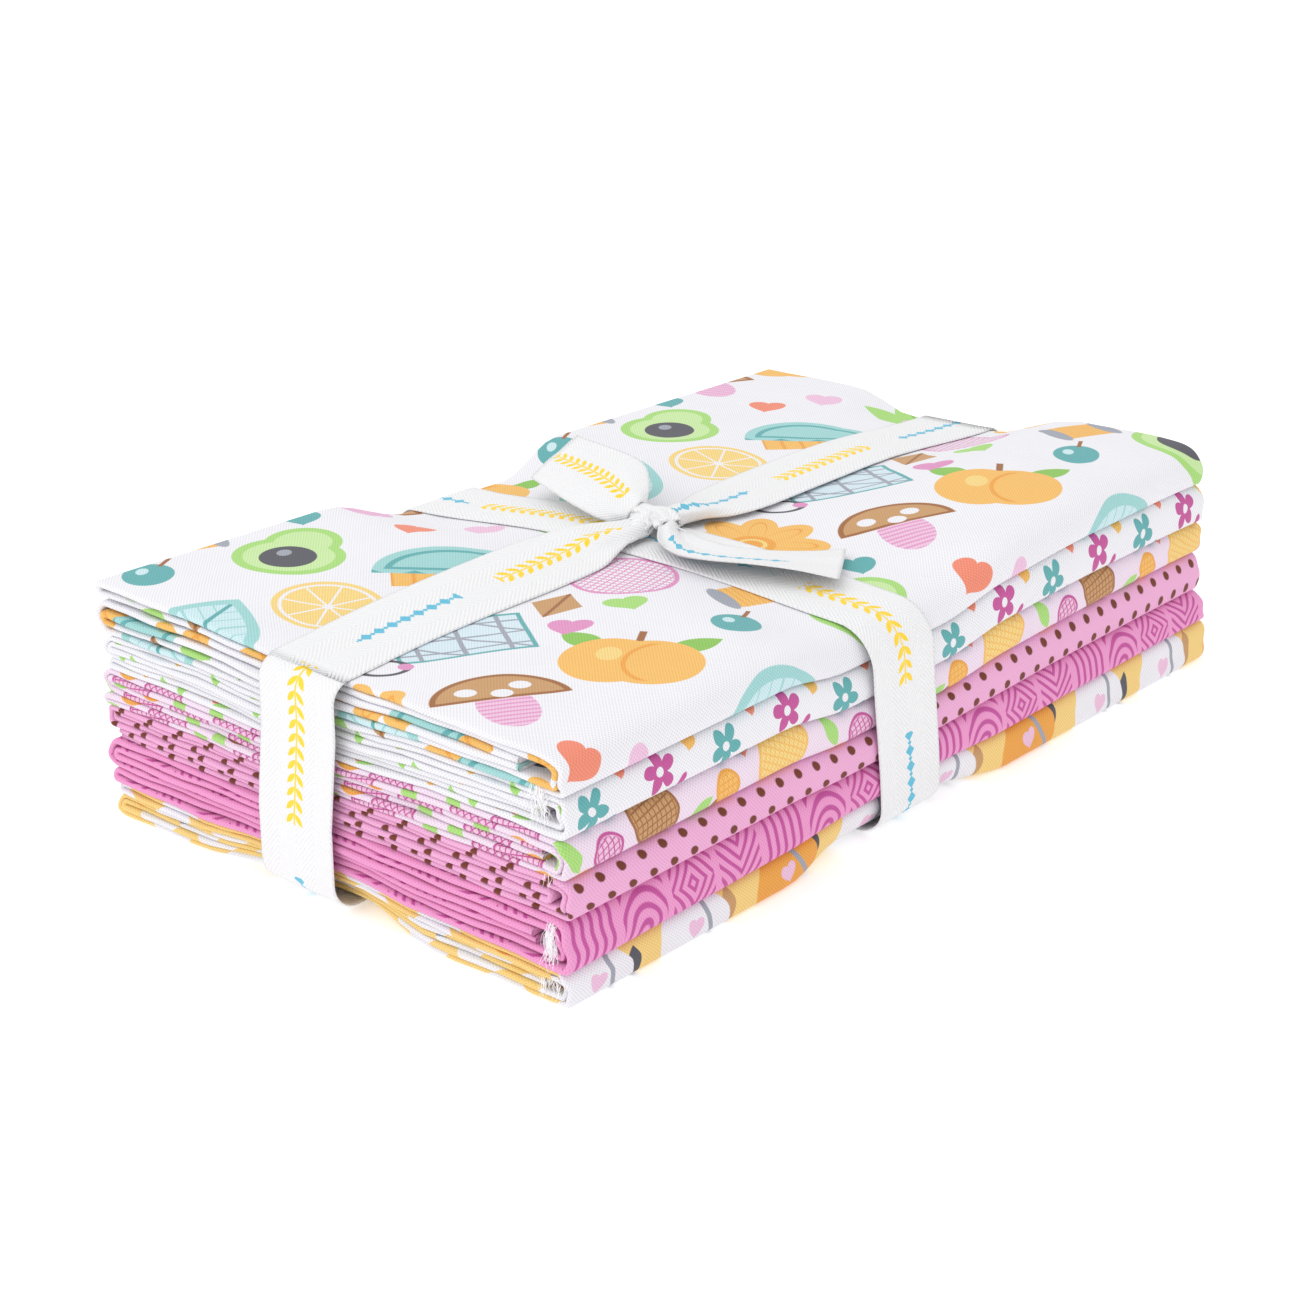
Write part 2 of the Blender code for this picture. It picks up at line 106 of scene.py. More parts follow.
DIP_ALONG = 2 * MM
DIP_BACK = 5.1 * MM
DIP_FRONT = 2.8 * MM
DIP_RIGHT = 3.4 * MM
DIP_LEFT = 0.9 * MM
DIP_REACH = 62 * MM
DIP_FALL = 27 * MM
SWELL = 3.4 * MM
SWELL_X = (80 * MM, 110 * MM)
SWELL_X_FALL = 60 * MM
SWELL_Y = (-60 * MM, -40 * MM)
SWELL_Y_FALL = 40 * MM
BESIDE_LONG_BAND = 1 * MM
BESIDE_CROSS_BAND = (2 * MM, 3 * MM)
PULL_TOP = 3.2 * MM
PULL_FLOOR = 5.5 * MM
EDGE_REACH = 30 * MM

# How the strips are drawn: each fills most of its layer's share of the height, and lies a little
# unevenly. A wave is its height and the length in which it turns by one radian. The two end waves
# shift X along the path, and a swing moves a layer by a share of its length's thickness. The creases
# show in the uppermost share of the top length.
FILL = 0.95
CLEAR = 0.05 * MM
THICKEST = 1.72 * MM
HALF_PLIES = 0.8 * MM
UPPER_POWER, LOWER_POWER = 0.75, 0.6
WAVE_PHASE = 2.1
STAGGER_TURN = 9.4
SLOW_WAVE = (0.28 * MM, 9 * MM)
QUICK_WAVE = (0.22 * MM, 3.7 * MM)
SWING = 0.035
SWING_X, SWING_Y, SWING_ACROSS = 17 * MM, 23 * MM, 12 * MM
CREASED_SHARE = 0.12
ACROSS_STATIONS = 64
PANEL_STATIONS = 24
TURN_STATIONS = 11
SPINE_STATIONS = 23
ROUND_STEPS = 7

# Soft troughs and ridges of the top, in mm: the middle, the turn in degrees, half sizes and the rise.
Crease = namedtuple("Crease", "x y turn long wide high")
CREASES = (
    Crease(-102, -46, 46, 38, 8, -0.50),
    Crease(-50, -70, 38, 20, 4.5, -0.55),
    Crease(20, -66, -44, 20, 4.5, -0.50),
    Crease(66, -44, 14, 42, 9, 0.40),
    Crease(104, -66, -30, 24, 5, -0.45),
    Crease(72, 50, -22, 36, 8, -0.45),
    Crease(-92, 46, 30, 34, 8, -0.40),
    Crease(-48, 58, -40, 18, 4.5, -0.45),
)


def ease(t):
    """Smooth step from 0 to 1."""
    t = np.clip(t, 0, 1)
    return t * t * (3 - 2 * t)


def between(start, end, share):
    """The value at a share of the way from start to end."""
    return start + (end - start) * share


def band(v, low, high, fall):
    """1 between low and high, easing to 0 over fall on either side."""
    return ease((v - low + fall) / fall) * ease((high + fall - v) / fall)


def over_long_band(y):
    """1 over the long band, easing to 0 on both sides of it."""
    half = TAPE_WIDTH / 2 + BESIDE_LONG_BAND
    return band(y, LONG_BAND_Y - half, LONG_BAND_Y + half, DIP_FALL)


def over_cross_band(x):
    """1 over the cross band, which leans a little, easing to 0 on both sides of it."""
    left = CROSS_TOP_BACK_X - TAPE_WIDTH / 2 - BESIDE_CROSS_BAND[0]
    right = CROSS_UNDER_FRONT_X + TAPE_WIDTH / 2 + BESIDE_CROSS_BAND[1]
    return band(x, left, right, DIP_FALL)


def lift_under(x, y):
    """Rise of the lowest cloth over the bands that pass under it."""
    return UNDER_TAPE * (over_long_band(y) + over_cross_band(x))


def dip(x, y):
    """How far the tape pulls the top down: along both bands, and most at the four edges.

    A swell beside the bands at the front right takes some of it back.
    """
    left = ease((-LENGTH / 2 + DIP_REACH - x) / DIP_REACH)
    right = ease((x - LENGTH / 2 + DIP_REACH) / DIP_REACH)
    front = ease((-DEPTH / 2 + DIP_REACH - y) / DIP_REACH)
    back = ease((y - DEPTH / 2 + DIP_REACH) / DIP_REACH)
    along_x = over_long_band(y) * (DIP_LEFT * left + DIP_RIGHT * right)
    along_y = over_cross_band(x) * (DIP_FRONT * front + DIP_BACK * back)
    either = 1 - (1 - over_long_band(y)) * (1 - over_cross_band(x))
    swell = SWELL * band(x, *SWELL_X, SWELL_X_FALL) * band(y, *SWELL_Y, SWELL_Y_FALL)
    return DIP_ALONG * either + along_x + along_y - swell


def stack_heights(x, y):
    """Heights of the seven surfaces that bound the six lengths, as an array with level first.

    The thickness of a length goes straight from corner to corner. The sums are scaled so that the top
    comes down by the dip while the floor rises over the bands below.
    """
    rightwards = x / LENGTH + 0.5
    backwards = y / DEPTH + 0.5
    levels = [np.zeros(np.broadcast(x, y).shape)]
    for cut in CUTS:
        front_left, front_right, back_left, back_right = cut.thick
        front = between(front_left, front_right, rightwards)
        back = between(back_left, back_right, rightwards)
        levels.append(levels[-1] + between(front, back, backwards) * MM)
    heights = np.array(levels)
    under = lift_under(x, y)
    return under + heights * (1 - (dip(x, y) + under) / heights[-1])


def creased(x, y):
    """Rise of the upper face: each crease is its height times exp(-across**2 - along**2), in half sizes."""
    rise = 0.0
    for crease in CREASES:
        turn = math.radians(crease.turn)
        east, north = x / MM - crease.x, y / MM - crease.y
        along = (east * math.cos(turn) + north * math.sin(turn)) / crease.long
        across = (north * math.cos(turn) - east * math.sin(turn)) / crease.wide
        rise = rise + crease.high * MM * np.exp(-across * across - along * along)
    return rise


def pulled_in(value, half, over_tape, level):
    """Moves points near an edge towards the middle, where the tape rounds the upper and lower edges."""
    near_edge = ease((np.abs(value) - half + EDGE_REACH) / EDGE_REACH)
    middle = len(CUTS) / 2
    pull = np.where(level > middle, PULL_TOP, PULL_FLOOR) * (np.abs(level - middle) / middle) ** 4
    return value - np.sign(value) * over_tape * near_edge * pull


# Fold path of a strip
def spine(front, cut, pitch, low, high):
    """The strip round the front, from level high down to level low, as (y, level) arrays.

    A superellipse: the height follows cos(a)**p and the depth 1 - sin(a)**p, with a from 0 to pi.
    Below its middle it is a little fuller, and above it as deep as the shoulder.
    """
    angle = np.linspace(0, math.pi, SPINE_STATIONS)[:, None]
    upper = angle < math.pi / 2
    share = (high - low) / (PANELS - 1)
    deep = share * np.where(upper, cut.shoulder * MM, LOWER_ROUND)
    power = np.where(upper, UPPER_POWER, LOWER_POWER)
    rise = np.sign(np.cos(angle)) * np.abs(np.cos(angle)) ** power
    y = front + low * pitch + deep * (1 - np.abs(np.sin(angle)) ** power)
    return y, (high + low) / 2 + (high - low) / 2 * rise


def round_turn(edge, side, pitch, low, high):
    """A half-round turn from level low up to level high, which reaches to edge on its side."""
    angle = np.linspace(0, math.pi, TURN_STATIONS)[:, None]
    deep = np.minimum((high - low) / 2 * pitch, LOOP_ROUND)
    y = edge - side * deep * (1 - np.sin(angle))
    return y, (high + low) / 2 - (high - low) / 2 * np.cos(angle)


def turn_between(front, back, cut, pitch, at_front, before, after):
    """The turn from one panel to the next, in the order in which the strip takes it."""
    low, high = sorted((before, after))
    if at_front and high - low > 1:
        y, level = spine(front, cut, pitch, low, high)
        y, level = y[::-1], level[::-1]
    elif at_front:
        y, level = round_turn(front + cut.tuck * MM, -1, pitch, low, high)
    else:
        nested = high - low == 1 and low in (1, 3)
        halfway = high - low == 1 and not nested
        edge = back - pitch * nested - HALFWAY_FOLD_BACK * halfway
        y, level = round_turn(edge, 1, pitch, low, high)
    return (y, level) if before < after else (y[::-1], level[::-1])


def spread(count):
    """Shares from 0 to 1, two and a half times as close together at both ends as in the middle."""
    s = np.linspace(-1, 1, count)
    return (1.25 * s - 0.25 * s**3 + 1) / 2


def fold_path(cut, share):
    """Centre line of the folded strip: y and level (0 to 1) as arrays (path, x), and its height.

    The height is what lies between the middles of the lowest and the uppermost panel.
    """
    thick = between(cut.thick[0], cut.thick[1], share) * MM - 2 * HALF_PLIES
    pitch = thick / (PANELS - 1)
    front = -DEPTH / 2 - between(cut.spine_left, cut.spine_right, share) * MM + HALF_PLIES
    back = DEPTH / 2 + between(cut.loop_left, cut.loop_right, share) * MM - HALF_PLIES
    order = [PANELS - 1 - level if cut.turned else level for level in cut.panels]
    backwards = cut.panels is ENDS_TUCKED
    cut_end = front + cut.tuck * MM if backwards else back - CUT_END_BACK
    turns = [(cut_end[None, :], np.full((1, 1), float(order[0])))]
    for before, after in zip(order, order[1:]):
        backwards = not backwards
        turns.append(turn_between(front, back, cut, pitch, backwards, before, after))
    turns.append((cut_end[None, :], np.full((1, 1), float(order[-1]))))
    rows_y, rows_level = [turns[0][0]], [turns[0][1]]
    inner = spread(PANEL_STATIONS)[1:-1, None]
    for number, level in enumerate(order):
        start, end = turns[number][0][-1], turns[number + 1][0][0]
        rows_y += [between(start, end, inner), turns[number + 1][0]]
        rows_level += [np.full(inner.shape, float(level)), turns[number + 1][1]]
    y = np.concatenate(rows_y)
    level = np.broadcast_to(np.concatenate(rows_level), y.shape) / (PANELS - 1)
    lean = cut.lean * MM * (level - 0.5) * ease((y - front) / -EDGE_REACH + 1)
    return y + lean, level, thick


def length_along(y, level, thick):
    """Arc length of the strip half way along X, from the middle of its front spine and upwards there."""
    half = y.shape[1] // 2
    y, level = y[:, half], level[:, half]
    along = np.concatenate([[0], np.cumsum(np.hypot(np.diff(y), np.diff(level * thick[half])))])
    spine_row = np.argmin(np.where(np.abs(level - 0.5) < 0.1, y, 1.0))
    return (along - along[spine_row]) * np.sign(level[spine_row + 1] - level[spine_row])


def strip_surface(number, cut):
    """Centre surface of one strip, its thickness and the length along it.

    The path gives y and the level in the stack. The height is the stack's rule at that place, with
    the spacing of the panels eased up and down by slow sines, and X shifts along the path by sines
    that grow towards the ends with the cube of X.
    """
    x = (spread(ACROSS_STATIONS) - 0.5) * LENGTH
    share = x / LENGTH + 0.5
    y, inside, thick = fold_path(cut, share)
    along = length_along(y, inside, thick)
    x = np.broadcast_to(x, y.shape)
    share = np.broadcast_to(share, y.shape)
    edge = (2 * x / LENGTH) ** 3
    phase = WAVE_PHASE * number
    wave = STAGGER * np.sin(STAGGER_TURN * inside + phase)
    wave = wave + SLOW_WAVE[0] * np.sin(along[:, None] / SLOW_WAVE[1] + phase)
    wave = wave + QUICK_WAVE[0] * np.sin(along[:, None] / QUICK_WAVE[1] + 2 * phase)
    ends = between(-cut.end_left, cut.end_right, share) * MM + wave * edge
    heights = stack_heights(x, y)
    low, high = heights[number], heights[number + 1]
    whole = high - low - 2 * CLEAR
    sheet = np.minimum(FILL * whole / (PANELS - 1 + FILL), THICKEST)
    swing = SWING * np.sin(x / SWING_X + y / SWING_Y + phase) * np.sin(y / SWING_ACROSS - phase)
    spaced = inside + swing * np.sin(math.pi * inside)
    squeeze = 1 + np.minimum(swing * math.pi * np.cos(math.pi * inside), 0)
    z = low + CLEAR + sheet / 2 + (whole - sheet) * spaced
    level = number + inside
    rise = creased(x, y) * ease((level - len(CUTS) + CREASED_SHARE) / CREASED_SHARE)
    z = z + rise / 2
    placed_x = pulled_in(x + ends, LENGTH / 2, over_long_band(y), level)
    placed_y = pulled_in(y, DEPTH / 2, over_cross_band(x), level)
    upwards = slice(None, None, 1 if along[-1] > along[0] else -1)
    centre = np.stack([placed_x, placed_y, z], axis=-1)
    return centre[upwards], (sheet * squeeze + rise)[upwards], along[upwards]


def unit(v):
    """Vectors of length 1 along the last axis."""
    return v / np.maximum(np.linalg.norm(v, axis=-1, keepdims=True), 1e-12)


def tangent(points, axis):
    """Mean of the unit steps before and after each point along one axis of a grid."""
    steps = unit(np.diff(points, axis=axis))
    first = np.take(steps, [0], axis=axis)
    last = np.take(steps, [-1], axis=axis)
    return unit(np.concatenate([first, steps], axis=axis) + np.concatenate([steps, last], axis=axis))


def round_strip(centre, thickness, along, name):
    """A closed band about a centre surface: two faces half the thickness off it, joined by half rounds.

    The columns start under the middle, pass the left edge, the top, the right edge, and come back.
    A point is its centre, plus half the thickness times cos(lift) outwards and sin(lift) upwards.
    The texture length goes on round the edges, so a print runs over them.
    """
    rows, stations = centre.shape[:2]
    half = stations // 2
    angle = np.linspace(-90, 90, ROUND_STEPS + 1)[1:-1]
    legs = (
        (np.arange(half, -1, -1), -90, -1),
        (np.zeros(len(angle), int), angle, -1),
        (np.arange(stations), 90, 0),
        (np.full(len(angle), stations - 1), angle[::-1], 1),
        (np.arange(stations - 1, half - 1, -1), -90, 1),
    )
    index = np.concatenate([places for places, _, _ in legs])
    lift = np.radians(np.concatenate([np.full(len(places), turn) for places, turn, _ in legs]))
    side = np.concatenate([np.full(len(places), way) for places, _, way in legs])
    sideways = tangent(centre, 1)
    normal = unit(np.cross(sideways, tangent(centre, 0)))
    ring = index[:-1]
    columns = len(ring)
    out = (side * np.cos(lift))[:-1, None] * sideways[:, ring]
    up = np.sin(lift)[:-1, None] * normal[:, ring]
    points = centre[:, ring] + thickness[:, ring, None] / 2 * (out + up)

    x = centre[rows // 2, :, 0]
    edge = np.where(side < 0, x[0], x[-1])
    past = np.where(lift == lift[0], np.abs(x[index] - edge), 0)
    round_length = np.mean(thickness) / 2 * (math.pi / 2 - lift)
    u = np.where(side == 0, x[index], edge + side * (round_length + past))

    first, second = np.meshgrid(np.arange(rows - 1), np.arange(columns), indexing="ij")
    quads = wrapped_quads(first, second, columns)
    uv = quad_places(u[second], u[second + 1], along[first], along[first + 1])
    caps, cap_uv = end_caps(half, len(angle), stations, rows, columns, u, along)
    return mesh_object(name, points.reshape(-1, 3), quads, uv, caps, cap_uv)


def wrapped_quads(first, second, wide, rows=None):
    """Corners of the quads of a grid whose columns close on themselves, and its rows if they are given."""
    next_row = first + 1 if rows is None else (first + 1) % rows
    next_column = (second + 1) % wide
    corners = (first * wide + second, first * wide + next_column,
               next_row * wide + next_column, next_row * wide + second)
    return np.stack(corners, axis=-1).reshape(-1, 4)


def quad_places(u, next_u, v, next_v):
    """Texture places of the corners of the quads, in the same order."""
    corners = ((u, v), (next_u, v), (next_u, next_v), (u, next_v))
    return np.stack([np.stack(corner, -1) for corner in corners], axis=2).reshape(-1, 2)


def end_caps(half, rounds, stations, rows, columns, u, along):
    """Faces over both cut ends: quads between the two faces, and one face over each half round.

    The columns are counted as in round_strip, so the underside's left half starts at column 0 and
    its right half ends there.
    """
    first_top = half + 1 + rounds
    last_top = first_top + stations - 1
    top = np.arange(first_top, last_top + 1)
    left_below = np.arange(half, 0, -1)
    right_below = np.arange(columns, columns - stations + half, -1) % columns
    below = np.concatenate([left_below, right_below])
    quads = np.stack([top[:-1], top[1:], below[1:], below[:-1]], axis=-1)
    left_round = np.arange(half, first_top + 1)
    right_round = np.arange(last_top, last_top + rounds + 2)
    near = quads.tolist() + [left_round.tolist(), right_round.tolist()]
    far = [[i + (rows - 1) * columns for i in face[::-1]] for face in near]
    values = [(u[i % columns], along[0]) for face in near for i in face]
    values += [(u[i % columns], along[-1]) for face in far for i in face]
    return near + far, np.array(values)


def placed(name, data):
    """A new object of the scene that shows the data."""
    obj = bpy.data.objects.new(name, data)
    bpy.context.scene.collection.objects.link(obj)
    return obj


def mesh_object(name, points, quads, uv, extra=(), extra_uv=None):
    """A mesh from an array of points and quads, with extra faces of any size, and its UV in metres."""
    faces = [tuple(face) for face in quads.tolist()] + [tuple(face) for face in extra]
    mesh = bpy.data.meshes.new(name)
    mesh.from_pydata(points.tolist(), [], faces)
    layer = mesh.uv_layers.new(name="cloth")
    values = uv if extra_uv is None else np.concatenate([uv, extra_uv])
    layer.data.foreach_set("uv", values.astype(np.float32).ravel())
    mesh.shade_smooth()
    mesh.validate()
    return placed(name, mesh)


# The tape, in mm. A station of an arm has its X, the middle and half width of the tape there, and the
# tilt, which lifts the back edge, or the front edge where it is negative. A station of a free end has
# X, Y and the height above the cloth of its left edge, and then of its right edge.
LEFT_ARM = (
    (-135, 3.4, 12.7, 0.4), (-103, 6.0, 12.7, 1.2),
    (-60, 6.4, 12.7, 2.6), (-41, 6.4, 11.6, 3.0),
    (-31, 5.8, 8.8, 2.4), (-24.5, 4.0, 5.4, 1.2),
    (-18.2, 2.4, 3.4, 0.4),
)
RIGHT_ARM = (
    (-10.6, 1.0, 2.6, 0), (-6.8, 1.6, 3.2, 0),
    (-1.5, 2.2, 4.8, -0.6), (6, 2.4, 7.6, -1.2),
    (19, 3.4, 12.0, -1.2), (46, 4.8, 12.7, -0.6),
    (95, 5.4, 12.7, -0.2), (135, 5.0, 12.7, 0),
)
WIDE_END = (
    (-16.0, 7.9, 4.0, -9.0, 7.9, 5.6), (-18.6, 16.0, 3.6, -2.0, 12.6, 10.0),
    (-17.3, 25.5, 4.4, 5.4, 20.8, 11.6), (-12.3, 38.0, 5.4, 11.8, 33.4, 11.6),
    (-3.7, 54.7, 6.2, 17.4, 56.3, 12.2),
)
NARROW_END = (
    (-17.6, -4.0, 4.5, -10.8, -4.4, 5.0), (-25.0, -10.5, 4.4, -13.8, -8.5, 4.2),
    (-29.5, -19.5, 4.2, -14.5, -15.0, 3.2), (-29.8, -29.5, 5.4, -12.0, -23.0, 2.4),
    (-25.0, -40.5, 6.2, -7.0, -31.0, 2.1), (-18.5, -50.5, 5.8, 0.5, -38.5, 2.0),
    (-12.3, -59.0, 4.3, 9.5, -45.0, 2.0),
)
# The two turns of the half knot: points that the middle of the drawn-together tape passes, in mm.
KNOT_OVER = (
    (-19.5, 2.5, 63.0), (-16.6, 2.6, 64.4), (-13.4, 1.6, 66.0), (-12.9, -1.6, 66.0), (-14.2, -5.0, 64.9),
)
KNOT_UNDER = ((-5.6, 2.0, 62.8), (-8.4, 2.4, 63.9), (-10.6, 4.2, 65.2), (-12.2, 8.6, 65.6))
ARM_STEPS, END_STEPS, KNOT_STEPS = 7, 8, 6

# The tape's section, how high its middle lies over the cloth and the floor, and where its print starts
# in the knot, which is between two motifs
TAPE_THICK = 0.5 * MM
TAPE_LIES = 0.34 * MM
TAPE_ON_FLOOR = TAPE_THICK / 2 + 0.05 * MM
TAPE_COLUMNS = 25
ACROSS_TAPE = np.linspace(-1, 1, TAPE_COLUMNS)[None, :]
EDGE_THINNER = 0.45
KNOT_PRINT = -9.8 * MM

# The bands: the rounds over the stack's edges, the straight stretches between them in mm, and where
# the long one hops over the other below. Cloth beside a band can push it out too, and more of it
# beside the cross band, which leans.
TOP_CORNER = 5.0 * MM
FLOOR_CORNER = 7.6 * MM
FRONT_SHOULDER = 11 * MM
CORNER_ROWS = 9
WALL = (46, 22)
LONG_UNDER = 125
CROSS_UNDER = 68
CROSS_TOP = (66, -62)
CROSSING_X, CROSSING_FALL = (-26 * MM, 8 * MM), 12 * MM
CROSSING_HOP = 0.8 * UNDER_TAPE
CLEAR_OF_CLOTH = 0.1 * MM
BESIDE_BAND = 2 * MM
CROSS_WANDERS = 1.6

# How the tape is drawn together: an arc's half angle in radians, heights, and how fast its folds turn
ARC_LEAST, ARC_GROWS = 0.02, 2.25
DRAWN_FAST = 1.4
KNOT_X, KNOT_X_FALL = (-32 * MM, 1 * MM), 10 * MM
CLIMB_AT_KNOT, CLIMB_DRAWN = 1.1 * MM, 0.9 * MM
ARM_ARCH = 3.6 * MM
ARM_FOLDS, ARM_FOLDS_FAST = 0.75 * MM, 2.2
ARM_FOLDS_ACROSS, ARM_FOLDS_ALONG = 8.4, 9 * MM
END_FOLDS_ACROSS, END_FOLDS_ALONG = 7.6, 3.5
END_BOW_FAST, END_BOW_MIDDLE = 3, 0.4
KNOT_ARC = 1.25
KNOT_SWELL = 0.10
KNOT_PLEATS, PLEATS_ACROSS, PLEATS_ALONG = 0.20, 15, 4


def through(stations, steps):
    """A smooth line through the stations (Catmull-Rom), with the given steps between each two."""
    stations = np.array(stations, float)
    padded = np.vstack([2 * stations[0] - stations[1], stations, 2 * stations[-1] - stations[-2]])
    t = (np.arange(steps) / steps)[:, None]
    line = [
        start + ((end - before) * t + (2 * before - 5 * start + 4 * end - after) * t * t
                 + (3 * start - before - 3 * end + after) * t**3) / 2
        for before, start, end, after in zip(padded, padded[1:], padded[2:], padded[3:])
    ]
    return np.concatenate(line + [stations[-1:]]) * MM


def on_top(x, y):
    """Height of the middle of a tape that lies on the stack."""
    return stack_heights(x, y)[-1] + TAPE_LIES


def bowed(t, share):
    """Cross-section of a tape that bows up into an arc: side from -1 to 1 and height from 0 to 1.

    t is the place across the tape. At share 0 it is flat, and at share 1 its edges turn under.
    """
    reach = ARC_LEAST + ARC_GROWS * share
    side = np.sin(reach * t) / np.sin(np.minimum(reach, math.pi / 2))
    return side, (np.cos(reach * t) - np.cos(reach)) / (1 - np.cos(reach))


def arm_grid(arm):
    """One arm of the long band from its edge to the knot, as (row, column, 3).

    Across the tape t runs from -1 to 1: y is the middle plus half the width times t, and the height
    is that of the stack below, plus a twist that lifts one edge and soft gathers near the knot.
    """
    line = through(arm, ARM_STEPS)
    x, middle, half, tilt = (line[:, [k]] for k in range(4))
    t = ACROSS_TAPE
    gathered = 1 - half / (TAPE_WIDTH / 2)
    side, up = bowed(t, ease(gathered * DRAWN_FAST))
    y = middle + half * side
    climb = CLIMB_AT_KNOT * band(x, *KNOT_X, KNOT_X_FALL) + CLIMB_DRAWN * gathered
    twist = np.abs(tilt) * ease((1 + np.sign(tilt) * t) / 2)
    turns = np.sin(t * ARM_FOLDS_ACROSS + x / ARM_FOLDS_ALONG)
    folds = ARM_FOLDS * ease(gathered * ARM_FOLDS_FAST) * turns
    arch = ARM_ARCH * gathered * up
    return np.stack([np.broadcast_to(x, y.shape), y, on_top(x, y) + twist + folds + arch + climb], -1)


def quarter(centre, radius, start):
    """Points on a quarter circle that turns from the angle start, in degrees, by 90 degrees."""
    a = np.radians(start + 90 * np.linspace(0, 1, CORNER_ROWS))
    return np.stack([centre[0] + radius * np.cos(a), centre[1] + radius * np.sin(a)], -1)


def long_band_grid(reach):
    """The long band from the knot over the left end, under the stack and up to the knot again."""

    def rows(x, z, middle):
        """Rows of the tape's full width at the places x, with the heights z and the middles in Y."""
        x, z, middle = np.broadcast_arrays(np.atleast_1d(x)[:, None], z, np.atleast_1d(middle)[:, None])
        y = middle + TAPE_WIDTH / 2 * ACROSS_TAPE
        return np.stack(np.broadcast_arrays(x[:, :1], y, z), -1)

    def corner(side, middle):
        """The round over the upper edge, a quarter circle that hangs from the stack's height."""
        arc = quarter((side * (reach - TOP_CORNER), -TOP_CORNER), TOP_CORNER, 90 if side < 0 else 0)
        y = middle + TAPE_WIDTH / 2 * ACROSS_TAPE
        return rows(arc[:, 0], on_top(side * LENGTH / 2, y) + arc[:, [1]], middle)

    def wall(side, top_middle, floor_middle):
        """The straight stretch down an end."""
        share = np.linspace(0, 1, CORNER_ROWS)
        z = between(*WALL, share)[:, None] * MM
        return rows(np.full(CORNER_ROWS, side * reach), z, between(top_middle, floor_middle, share))

    middle_z = FLOOR_CORNER + TAPE_ON_FLOOR
    left_floor = quarter((-reach + FLOOR_CORNER, middle_z), FLOOR_CORNER, 180)
    right_floor = quarter((reach - FLOOR_CORNER, middle_z), FLOOR_CORNER, -90)
    under_x = np.linspace(-LONG_UNDER, LONG_UNDER, 45) * MM
    under_y = between(LONG_LEFT_FLOOR_Y, LONG_BAND_Y, ease(under_x / (2 * LONG_UNDER * MM) + 0.5))
    hop = CROSSING_HOP * band(under_x, *CROSSING_X, CROSSING_FALL)
    grid = [
        arm_grid(LEFT_ARM)[::-1],
        corner(-1, LONG_LEFT_TOP_Y)[1:],
        wall(-1, LONG_LEFT_TOP_Y, LONG_LEFT_FLOOR_Y),
        rows(left_floor[:, 0], left_floor[:, [1]], LONG_LEFT_FLOOR_Y),
        rows(under_x, TAPE_ON_FLOOR + hop[:, None], under_y),
        rows(right_floor[:, 0], right_floor[:, [1]], LONG_BAND_Y),
        wall(1, LONG_BAND_Y, LONG_BAND_Y)[::-1],
        corner(1, LONG_BAND_Y)[:-1],
        arm_grid(RIGHT_ARM)[::-1],
    ]
    return np.concatenate(grid)


def cross_band_grid(reach):
    """The cross band, a closed ring over the spines and the loops that passes flat under the knot."""
    top_front = float(on_top(np.array(CROSS_TOP_FRONT_X), np.array(-DEPTH / 2)))
    top_back = float(on_top(np.array(CROSS_TOP_BACK_X), np.array(DEPTH / 2)))
    low = FLOOR_CORNER + TAPE_ON_FLOOR
    top_y = np.linspace(*CROSS_TOP, 33) * MM
    under_y = np.linspace(-CROSS_UNDER, CROSS_UNDER, 19) * MM
    down = np.linspace(top_front - FRONT_SHOULDER, low, 9)[1:-1]
    up = np.linspace(low, top_back - TOP_CORNER, 11)[1:-1]
    path = np.concatenate([
        np.stack([top_y, np.full(len(top_y), np.nan)], -1),
        quarter((-reach + FRONT_SHOULDER, top_front - FRONT_SHOULDER), FRONT_SHOULDER, 90),
        np.stack([np.full(len(down), -reach), down], -1),
        quarter((-reach + FLOOR_CORNER, low), FLOOR_CORNER, 180),
        np.stack([under_y, np.full(len(under_y), TAPE_ON_FLOOR)], -1),
        quarter((reach - FLOOR_CORNER, low), FLOOR_CORNER, -90),
        np.stack([np.full(len(up), reach), up], -1),
        quarter((reach - TOP_CORNER, top_back - TOP_CORNER), TOP_CORNER, 0),
    ])
    y, z = path[:, [0]], path[:, [1]]
    share = y / (2 * reach) + 0.5
    on_floor = between(CROSS_UNDER_FRONT_X, CROSS_UNDER_BACK_X, share)
    above = between(CROSS_TOP_FRONT_X, CROSS_TOP_BACK_X, share)
    climbed = np.where(np.isnan(z), 1, ease(np.nan_to_num(z) / top_front))
    x = between(on_floor, above, climbed) + TAPE_WIDTH / 2 * ACROSS_TAPE
    y = np.broadcast_to(y, x.shape)
    return np.stack([x, y, np.where(np.isnan(z), on_top(x, y), z)], -1)


